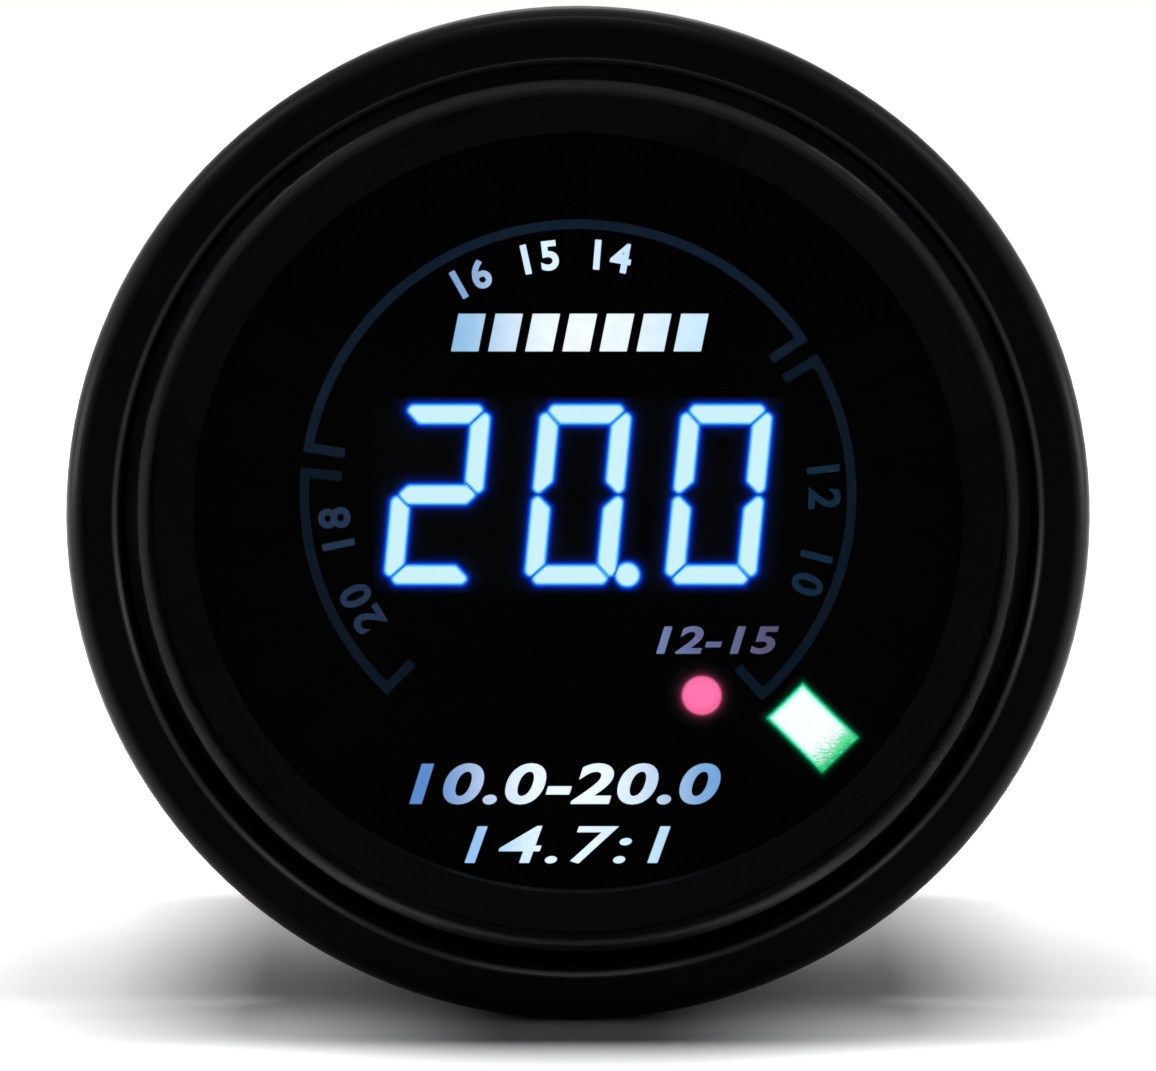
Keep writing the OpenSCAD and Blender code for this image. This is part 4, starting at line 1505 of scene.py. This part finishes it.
    def slashes(self) -> Piece:
        """Builds the row of plain slanted bars over the display.

        Returns:
            The piece.
        """
        parts = []
        for place in range(self.slash_count):
            across = self.slash_middle + (place - (self.slash_count - 1) / 2) * self.slash_pitch
            foot = across - self.slash_lean * (self.slash_high - self.slash_low) / 2
            head = 2 * across - foot
            half = self.slash_width / 2
            outline = [(foot - half, self.slash_low), (foot + half, self.slash_low),
                       (head + half, self.slash_high), (head - half, self.slash_high)]
            parts.append(prism(f"slanted_bars_{place}", outline, self.face,
                               self.face + self.ink))
        piece = join("slanted_bars", parts)
        ink = Printed("print_slanted_bars", shown(244, 251, 253), shown(150, 193, 226),
                      shown(205, 234, 250), 0.0001, 0.0072)
        return seat(piece, Body.GAUGE, ink)

    def build(self) -> None:
        """Dresses the dial and lays its print."""
        dress(DIAL, "dial_face")
        for row in self.zones:
            self.zone(row)
        for row in self.numbers():
            self.number(row)
        self.slashes()


ALL_BUT_MIDDLE = tuple(s for s in Segment if s is not Segment.MIDDLE)
TWO = (Segment.TOP, Segment.UPPER_RIGHT, Segment.MIDDLE, Segment.LOWER_LEFT, Segment.BOTTOM)


@dataclass
class Display:
    """Three slanted digits with a decimal point, in millimetres."""

    height: float = 10.16
    width: float = 5.02
    pitch: float = 8.0
    slant: float = 5.5
    segment: float = 0.92
    nose: float = 0.46
    gap: float = 0.26
    corner: float = 0.14
    point: float = 1.2
    point_sides: int = 48
    point_gap: float = 0.15
    film_size: Point2 = (23.4, 11.3)
    film_back: float = -3.49
    film_thickness: float = 0.04
    film_step: float = 0.12
    cap_thickness: float = 0.05
    cap_edge: float = 0.09
    halo: float = 1.3
    crease: float = 0.2
    lit: tuple[tuple[Segment, ...], ...] = (TWO, ALL_BUT_MIDDLE, ALL_BUT_MIDDLE)
    point_after: int = 1

    @property
    def cap_back(self) -> float:
        """Depth at which the caps stand on the film."""
        return self.film_back + self.film_thickness

    def outline(self, segment: Segment) -> list[Point2]:
        """Draws an upright segment about its digit's middle.

        Args:
            segment: The segment.

        Returns:
            Its corners in millimetres.
        """
        x, y = (self.width - self.segment) / 2, (self.height - self.segment) / 2
        half, nose = self.segment / 2, self.nose
        mitre = self.gap / math.sqrt(2)
        top = [(-x - half + mitre + nose, y + half), (x + half - mitre - nose, y + half),
               (x + half - mitre - nose / 2, y + half - nose / 2),
               (x - half - mitre, y - half), (-x + half + mitre, y - half),
               (-x - half + mitre + nose / 2, y + half - nose / 2)]
        side = [(x + half, self.gap / 2 + nose / 2), (x + half, y + half - mitre - nose),
                (x + half - nose / 2, y + half - mitre - nose / 2),
                (x - half, y - half - mitre), (x - half, half + mitre + nose / 3),
                (x + half - nose / 2, self.gap / 2)]
        tip = x + nose / 6
        middle = [(-tip, 0.0), (half - tip, half), (tip - half, half),
                  (tip, 0.0), (tip - half, -half), (half - tip, -half)]
        shapes = {
            Segment.TOP: (top, 1, 1), Segment.BOTTOM: (top, 1, -1),
            Segment.UPPER_RIGHT: (side, 1, 1), Segment.LOWER_RIGHT: (side, 1, -1),
            Segment.UPPER_LEFT: (side, -1, 1), Segment.LOWER_LEFT: (side, -1, -1),
            Segment.MIDDLE: (middle, 1, 1)}
        corners, flip_x, flip_y = shapes[segment]
        return [(flip_x * px, flip_y * py) for px, py in corners]

    def slanted(self, corners: Sequence[Point2], digit: int) -> list[Point2]:
        """Slants corners and moves them to their digit, counted from 0.

        Args:
            corners: The upright corners.
            digit: The digit.

        Returns:
            The slanted corners.
        """
        lean = math.tan(math.radians(self.slant))
        across = (digit - (len(self.lit) - 1) / 2) * self.pitch
        return [(across + px + py * lean, py) for px, py in corners]

    def point_middle(self) -> Point2:
        """Places the lit decimal point.

        Returns:
            Its x and y.
        """
        low = -(self.height - self.segment) / 2
        edge = self.slanted([(self.width / 2, low)], self.point_after)[0]
        return (edge[0] + self.point_gap + self.point / 2, low)

    def cap(self, segment: Segment, digit: int) -> Piece:
        """Builds the lit cap of one segment, with a rim that carries its edge's light.

        Args:
            segment: The segment.
            digit: The digit, counted from 0.

        Returns:
            The cap.
        """
        corners = self.slanted(self.outline(segment), digit)
        piece = prism(f"lit_digit_{digit + 1}_{segment.value}", corners, self.cap_back,
                      self.cap_back + self.cap_thickness)
        round_corners(piece, self.corner)
        self.rim(piece, corners)
        return seat(piece, Body.GAUGE, self.cap_light())

    def rim(self, piece: Piece, corners: Sequence[Point2]) -> None:
        """Insets a cap's front and writes the light of its edge and its middle.

        Args:
            piece: The cap.
            corners: Its outline's corners.
        """
        inset_front(piece, self.cap_edge)
        inward = -rounded_distance(points_of(piece), corners, self.corner) / self.cap_edge
        write(piece, GLOW, np.clip(inward, 0, 1))

    def cap_light(self) -> Lit:
        """Returns the light of the caps, from their edge to their middle."""
        return Lit("digit_light", ((0.0, shown(158, 234, 248)), (0.5, shown(194, 240, 246)),
                                   (1.0, shown(206, 240, 241))), patchy=0.3)

    def decimal_point(self) -> Piece:
        """Builds the lit decimal point.

        Returns:
            The point.
        """
        middle = self.point_middle()
        bpy.ops.mesh.primitive_cylinder_add(
            vertices=self.point_sides, radius=self.point / 2, depth=self.cap_thickness,
            location=(*middle, self.cap_back + self.cap_thickness / 2))
        piece = named("lit_decimal_point")
        settle(piece)
        inset_front(piece, self.cap_edge)
        away = np.linalg.norm(points_of(piece)[:, :2] - np.array(middle), axis=1)
        write(piece, GLOW, np.clip((self.point / 2 - away) / self.cap_edge, 0, 1))
        return seat(piece, Body.GAUGE, self.cap_light())

    def film(self) -> Piece:
        """Builds the display's film, whose glow fades away from the lit segments.

        Returns:
            The film.
        """
        piece = grid_sheet("display_film", self.film_size, self.film_step)
        piece.location = (0.0, 0.0, self.film_back)
        settle(piece)
        points = points_of(piece)
        gaps = [rounded_distance(points, self.slanted(self.outline(segment), digit),
                                 self.corner)
                for digit, segments in enumerate(self.lit) for segment in segments]
        away = np.linalg.norm(points[:, :2] - np.array(self.point_middle()), axis=1)
        gaps = np.sort(np.array([*gaps, away - self.point / 2]), axis=0)
        near = gaps[0] + np.clip(self.crease - gaps[1], 0, None)
        write(piece, GLOW, np.clip(1 - near / self.halo, 0, 1))
        thicken(piece, self.film_thickness)
        fade = ((20.0, (0, 0, 2)), (12.0, (0, 2, 16)), (8.0, (0, 8, 46)), (5.6, (0, 18, 104)),
                (4.1, (2, 44, 170)), (3.0, (9, 80, 200)), (2.0, (46, 136, 232)),
                (1.0, (110, 198, 250)), (0.0, (156, 232, 248)))
        stops = ((0.0, BLACK),
                 *((1 - steps * PIXEL / self.halo, shown(*tone)) for steps, tone in fade))
        return seat(piece, Body.GAUGE, Lit("film_light", stops, patchy=0.03))

    def build(self) -> None:
        """Dresses the display's nodes and builds what is lit."""
        dress(DISPLAY_CUP, "display_housing")
        dress(PIPES, *(f"display_digit_{digit + 1}" for digit in range(len(self.lit))))
        dress(TINNED, "display_pins")
        self.film()
        for digit, segments in enumerate(self.lit):
            for segment in segments:
                self.cap(segment, digit)
        self.decimal_point()


@dataclass
class BarRing:
    """Ring of bars with their lamps, of which the last bar is lit, in millimetres."""

    count: int = 20
    start: float = 225.0
    sweep: float = 270.0
    inner: float = 16.7
    length: float = 4.45
    width: float = 2.85
    spread: float = 0.5
    step: float = 0.08
    depth: float = -2.88
    thickness: float = 0.03
    lit: int = 19

    def light(self) -> BarLight:
        """Grades the lit bar's light, from the dark outside to its white middle.

        Returns:
            The light.
        """
        edge = ((-0.5, (0, 0, 0)), (-0.34, (0, 8, 3)), (-0.2, (0, 28, 13)),
                (-0.1, (0, 72, 38)), (-0.02, (0, 160, 96)), (0.06, (60, 220, 160)),
                (0.16, (190, 252, 232)), (0.32, (244, 255, 252)), (0.5, (252, 255, 255)))
        stops = tuple((0.5 + away / (2 * self.spread), shown(*tone)) for away, tone in edge)
        return BarLight("bar_light", stops, patchy=0.12, end_colour=shown(70, 236, 150),
                        dark_colour=shown(0, 138, 56))

    def lit_bar(self) -> Piece:
        """Builds the lit bar's window with the glow round it.

        Returns:
            The bar.
        """
        wide, tall = self.length + 2 * self.spread, self.width + 2 * self.spread
        piece = grid_sheet(f"lit_bar_{self.lit + 1}", (wide, tall), self.step)
        half, high = self.length / 2, self.width / 2
        points = points_of(piece)
        inward = -signed_distance(points, [(-half, -high), (half, -high), (half, high),
                                           (-half, high)])
        write(piece, GLOW, np.clip(0.5 + inward / (2 * self.spread), 0, 1))
        write(piece, ALONG, np.clip(points[:, 0] / self.length + 0.5, 0, 1))
        thicken(piece, self.thickness)
        angle = math.radians(self.start - self.lit * self.sweep / (self.count - 1))
        middle = self.inner + half
        piece.rotation_euler = (0.0, 0.0, angle)
        piece.location = (middle * math.cos(angle), middle * math.sin(angle), self.depth)
        settle(piece)
        return seat(piece, Body.GAUGE, self.light())

    def build(self) -> None:
        """Dresses the ring's nodes and lights the last bar."""
        dress(GUIDE, "light_guide")
        dress(LIGHT_BOX, "light_box")
        dress(LAMP_RESIN, "legend_lamps", *(f"ring_lamp_{i + 1}" for i in range(self.count)))
        self.lit_bar()


@dataclass
class Indicator:
    """Round pink lamp with the glow round it, in millimetres."""

    inner: float = 0.97
    core: float = 1.1
    outer: float = 2.0
    rings: int = 14
    sides: int = 72
    depth: float = -2.89
    thickness: float = 0.02

    def middle(self) -> Point2:
        """Returns the lamp's middle, taken from its node."""
        low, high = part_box("indicator_lamp")
        return ((low.x + high.x) / 2 / MM, (low.z + high.z) / 2 / MM)

    def halo(self) -> Piece:
        """Builds the ring of light on the dial round the lamp.

        Returns:
            The ring.
        """
        middle = self.middle()
        piece = ring_sheet("indicator_halo", self.inner, self.outer, self.rings, self.depth,
                           self.sides, middle)
        away = np.linalg.norm(points_of(piece)[:, :2] - np.array(middle), axis=1)
        write(piece, GLOW, np.clip((self.outer - away) / (self.outer - self.inner), 0, 1))
        thicken(piece, self.thickness)
        at = (self.outer - self.core) / (self.outer - self.inner)
        stops = ((0.0, BLACK), (at * 0.35, shown(6, 2, 3)), (at * 0.6, shown(24, 10, 14)),
                 (at * 0.82, shown(66, 22, 34)), (at * 0.95, shown(130, 48, 76)),
                 (at, shown(225, 98, 146)), (1.0, shown(244, 112, 168)))
        return seat(piece, Body.GAUGE, Lit("halo_light", stops, patchy=0.02))

    def build(self) -> None:
        """Lights the lamp and its halo."""
        across, up = self.middle()
        resin = LitResin("indicator_resin", shown(248, 112, 162), shown(244, 104, 148),
                         (across * MM, 0.0, up * MM), self.core * MM)
        dress(resin, "indicator_lamp")
        self.halo()


@dataclass
class Boards:
    """Boards, posts and what is soldered on, all inside the barrel."""

    posts: int = 3

    def build(self) -> None:
        """Dresses the boards' nodes."""
        dress(BOARD, "display_board", "driver_board")
        dress(POSTS, *(f"post_{i + 1}" for i in range(self.posts)))
        dress(SCREWS, "board_screws")
        dress(CHIP, "microcontroller", "voltage_regulator")
        dress(CAN, "capacitors")
        dress(HEADER, "board_header")


@dataclass
class Housing:
    """Barrel, back cover with its screws, and the power socket."""

    edge: float = 0.12

    def build(self) -> None:
        """Dresses the housing and breaks the sharp edges of what shows behind."""
        dress(BARREL, "barrel")
        dress(SCREWS, "cover_screws")
        dress(GILT, "socket_pins")
        softened("back_cover", "cover_shell", self.edge, Body.GAUGE, COVER)
        softened("power_socket", "socket_shell", self.edge, Body.GAUGE, SOCKET)


@dataclass
class Clamp:
    """Studs with their threads, lock nuts, bracket, washers and thumb nuts."""

    thread_pitch: float = 0.7
    thread_radius: float = 2.0
    thread_depth: float = 0.38
    thread_sides: int = 28
    tip: float = 0.45
    head_width: float = 7.0
    head_height: float = 2.4
    head_sides: int = 6
    edge: float = 0.12
    strip_edge: float = 0.16

    def thread(self, name: str, across: float, back: float, front: float) -> Piece:
        """Winds a thread from one crest profile, between two depths.

        Args:
            name: Name of the piece.
            across: Its axis, along x.
            back: Depth of its back end.
            front: Depth of its front end.

        Returns:
            The thread as a closed solid.
        """
        side = self.thread_pitch / math.sqrt(2)
        bpy.ops.mesh.primitive_plane_add(size=side, rotation=(math.pi / 2, 0.0, 0.0))
        piece = named(name)
        settle(piece)
        piece.rotation_euler = (0.0, math.pi / 4, 0.0)
        settle(piece)
        crest = self.thread_depth / (self.thread_pitch / 2)
        root = min(piece.data.vertices, key=lambda vertex: vertex.co.x).index
        with picking(piece, Pick.VERTICES, lambda vertex: vertex.index == root):
            bpy.ops.mesh.delete(type="VERT")
        piece.scale = (crest, 1.0, 1.0)
        piece.location = (self.thread_radius - self.thread_depth, 0.0,
                          back - self.thread_pitch)
        settle(piece)
        turns = math.ceil((front - back) / self.thread_pitch) + 2
        modify(piece, "SCREW", angle=2 * math.pi, screw_offset=self.thread_pitch,
               iterations=turns, steps=self.thread_sides, render_steps=self.thread_sides,
               use_merge_vertices=True, merge_threshold=THREAD_MERGE, axis="Z")
        cut_planes(piece, [(Vector((0.0, 0.0, back)), Vector((0.0, 0.0, -1.0))),
                           (Vector((0.0, 0.0, front)), Vector((0.0, 0.0, 1.0)))])
        with editing(piece):
            bpy.ops.mesh.remove_doubles(threshold=THREAD_MERGE)
            bpy.ops.mesh.normals_make_consistent(inside=False)
        piece.location = (across, 0.0, 0.0)
        settle(piece)
        return piece

    def stud(self, node: str) -> Piece:
        """Builds a threaded stud in the place of its node.

        Args:
            node: The stud's node.

        Returns:
            The stud.
        """
        low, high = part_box(node)
        across = (low.x + high.x) / 2 / MM
        front, back = -low.y / MM, -high.y / MM
        root = self.thread_radius - self.thread_depth
        rod = self.thread(f"{node}_thread", across, back + self.tip, front - self.head_height)
        bpy.ops.mesh.primitive_cone_add(
            vertices=self.thread_sides, radius1=root - self.tip / 2, radius2=root,
            depth=self.tip, location=(across, 0.0, back + self.tip / 2))
        tip = named(f"{node}_tip")
        settle(tip)
        bpy.ops.mesh.primitive_cylinder_add(
            vertices=self.head_sides, radius=self.head_width / math.sqrt(3),
            depth=self.head_height, location=(across, 0.0, front - self.head_height / 2))
        head = named(f"{node}_head")
        settle(head)
        modify(head, "BEVEL", width=2 * self.edge, segments=EDGE_STEPS)
        piece = seat(join(rod.name, [rod, tip, head]), Body.GAUGE, STUDS)
        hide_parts(node)
        return piece

    def build(self) -> None:
        """Builds the studs, and dresses or softens the other pieces."""
        for side in ("left", "right"):
            self.stud(f"stud_{side}")
            softened(f"lock_nut_{side}", f"hex_nut_{side}", self.edge, Body.GAUGE,
                     LOCK_NUTS)
            softened(f"washer_{side}", f"spring_washer_{side}", self.edge / 2, Body.BRACKET,
                     WASHERS)
            dress(THUMB_NUTS, f"thumb_nut_{side}")
        softened("clamp_bracket", "clamp_strip", self.strip_edge, Body.BRACKET,
                 BRACKET)


# Studio

@dataclass
class SoftLamp:
    """Area lamp: where it stands, its size in metres and how bright its face is.

    A shining lamp shows in what is glossy. A lamp that spares the floor leaves the
    gauge's shadow on it alone.
    """

    name: str
    place: Vector
    size: Point2
    radiance: float
    shining: bool = False
    spares_floor: bool = True


@dataclass
class Studio:
    """Camera, floor, world and lamps, in metres."""

    distance: float = 0.4
    elevation: float = 9.4
    frame_width: float = 0.06442
    sensor: float = 36.0
    clip_start: float = 0.01
    aim: Vector = field(default_factory=lambda: Vector((0.0, -0.005, -0.00097)))
    floor_size: float = 0.6
    floor_tone: Colour = (0.86, 0.86, 0.86, 1.0)
    floor_roughness: float = 0.9
    sky: float = 0.05
    arch_radius: float = 0.5
    arch_angles: tuple[float, ...] = (0.0, 45.0, 90.0, 135.0, 180.0)
    arch_forward: float = 0.12
    arch_size: Point2 = (0.26, 0.14)
    arch_radiance: float = 3.2
    key_place: Vector = field(default_factory=lambda: Vector((0.0, 0.136, 1.0)))
    key_size: Point2 = (0.9, 0.13)
    key_radiance: float = 45.0
    fill_radius: float = 0.9
    fill_height: float = 0.45
    fill_angles: tuple[float, ...] = (0.0, 90.0, 180.0, 270.0)
    fill_size: Point2 = (1.2, 0.9)
    fill_radiance: float = 0.55
    # painted light on the floor, as emission: its ranges beside, ahead of and behind the gauge,
    # and its shares
    bounce_aside: Point2 = (0.003, 0.021)
    bounce_ahead: Triple = (0.0015, -0.0105, 0.33)
    bounce_behind: Triple = (0.003, 0.032, 0.38)
    bounce_beside: float = 0.09
    spared: bpy.types.Collection | None = None

    def camera(self) -> None:
        """Adds the camera at the photograph's angle."""
        tilt = math.radians(self.elevation)
        data = bpy.data.cameras.new("camera")
        data.sensor_width = self.sensor
        data.lens = self.sensor * self.distance / self.frame_width
        data.clip_start = self.clip_start
        camera = bpy.data.objects.new("camera", data)
        camera.location = self.aim + self.distance * Vector(
            (0.0, -math.cos(tilt), math.sin(tilt)))
        camera.rotation_euler = (math.pi / 2 - tilt, 0.0, 0.0)
        bpy.context.scene.collection.objects.link(camera)
        bpy.context.scene.camera = camera

    def background(self, tree: Tree) -> Socket:
        """Tells rays that should meet a white background, as 1, from the others, as 0.

        Args:
            tree: The world's tree.

        Returns:
            The 1 or 0.
        """
        path = tree.add("LightPath")
        direct = tree.math("MAXIMUM", path.outputs["Is Camera Ray"],
                           path.outputs["Is Glossy Ray"])
        return tree.math("MAXIMUM", direct, path.outputs["Is Transmission Ray"])

    def world(self) -> None:
        """Adds an even soft light that shows white."""
        world = bpy.data.worlds.new("soft_light")
        world.use_nodes = True
        tree = Tree(world.node_tree)
        light = world.node_tree.nodes["Background"]
        tree.feed(light.inputs["Color"], WHITE)
        tree.feed(light.inputs["Strength"], tree.math(
            "MULTIPLY_ADD", self.background(tree), 1.0 - self.sky, self.sky))
        bpy.context.scene.world = world

    def bounce(self, paint: Surface) -> Socket:
        """Returns the painted light on the floor: emission that lightens it beside and behind the
        gauge, softening its shadow's edges.

        Args:
            paint: The floor's material.

        Returns:
            How much painted light the floor gives out.
        """
        apart = paint.add("SeparateXYZ")
        paint.feed(apart.inputs[0], paint.place)
        across, along = apart.outputs["X"], apart.outputs["Y"]
        aside = paint.rise(paint.math("ABSOLUTE", across), *self.bounce_aside)
        ahead, behind = (paint.rise(along, start, end, 0.0, share)
                         for start, end, share in (self.bounce_ahead, self.bounce_behind))
        beside = paint.math("MULTIPLY", aside, paint.math("ADD", ahead, self.bounce_beside))
        return paint.math("ADD", beside, behind)

    def floor(self) -> None:
        """Adds the pale floor that the bezel stands on, with painted light that softens the
        gauge's shadow on it, and names it for the lamps to spare.
        """
        bottom = cad_box[0][2]
        bpy.ops.object.select_all(action="DESELECT")
        bpy.ops.mesh.primitive_plane_add(size=self.floor_size, location=(0.0, 0.0, bottom))
        floor = named("floor")
        settle(floor)
        paint = Surface("floor_paint")
        # the floor's emission is painted light that softens the gauge's shadow on it
        paint.fill({"Base Color": self.floor_tone, "Roughness": self.floor_roughness,
                    "Specular IOR Level": 0.0, "Emission Color": WHITE,
                    "Emission Strength": self.bounce(paint)})
        floor.data.materials.append(paint.material)
        self.spared = bpy.data.collections.new("spared_floor")
        self.spared.objects.link(floor)

    def lamp(self, row: SoftLamp) -> None:
        """Adds a lamp that looks at the gauge.

        Args:
            row: The lamp.
        """
        data = bpy.data.lights.new(row.name, "AREA")
        data.shape = "RECTANGLE"
        data.size, data.size_y = row.size
        data.energy = row.radiance * math.pi * row.size[0] * row.size[1]
        lamp = bpy.data.objects.new(row.name, data)
        lamp.location = row.place
        lamp.rotation_euler = (-row.place).to_track_quat("-Z", "Y").to_euler()
        lamp.visible_camera = False
        lamp.visible_glossy = row.shining
        bpy.context.scene.collection.objects.link(lamp)
        if row.spares_floor:
            lamp.light_linking.receiver_collection = self.spared
            for entry in self.spared.collection_objects:
                entry.light_linking.link_state = "EXCLUDE"

    def build(self) -> None:
        """Builds the whole studio."""
        bpy.context.scene.view_settings.view_transform = "Standard"
        self.camera()
        self.world()
        self.floor()
        self.lamp(SoftLamp("key_lamp", self.key_place, self.key_size, self.key_radiance,
                           spares_floor=False))
        for angle in self.arch_angles:
            turn = math.radians(angle)
            place = Vector((math.cos(turn) * self.arch_radius, -self.arch_forward,
                            math.sin(turn) * self.arch_radius))
            self.lamp(SoftLamp(f"arch_lamp_{round(angle)}", place, self.arch_size,
                               self.arch_radiance, shining=True))
        for angle in self.fill_angles:
            turn = math.radians(angle)
            place = Vector((math.cos(turn) * self.fill_radius,
                            math.sin(turn) * self.fill_radius, self.fill_height))
            self.lamp(SoftLamp(f"fill_lamp_{round(angle)}", place, self.fill_size,
                               self.fill_radiance))


def main() -> None:
    """Builds the studio and dresses the gauge, front to back."""
    Studio().build()
    for part in (Front(), Dial(), Display(), BarRing(), Indicator(), Boards(), Housing(),
                 Clamp()):
        part.build()
        log.info("%s is dressed", type(part).__name__)


if __name__ == "__main__":
    main()
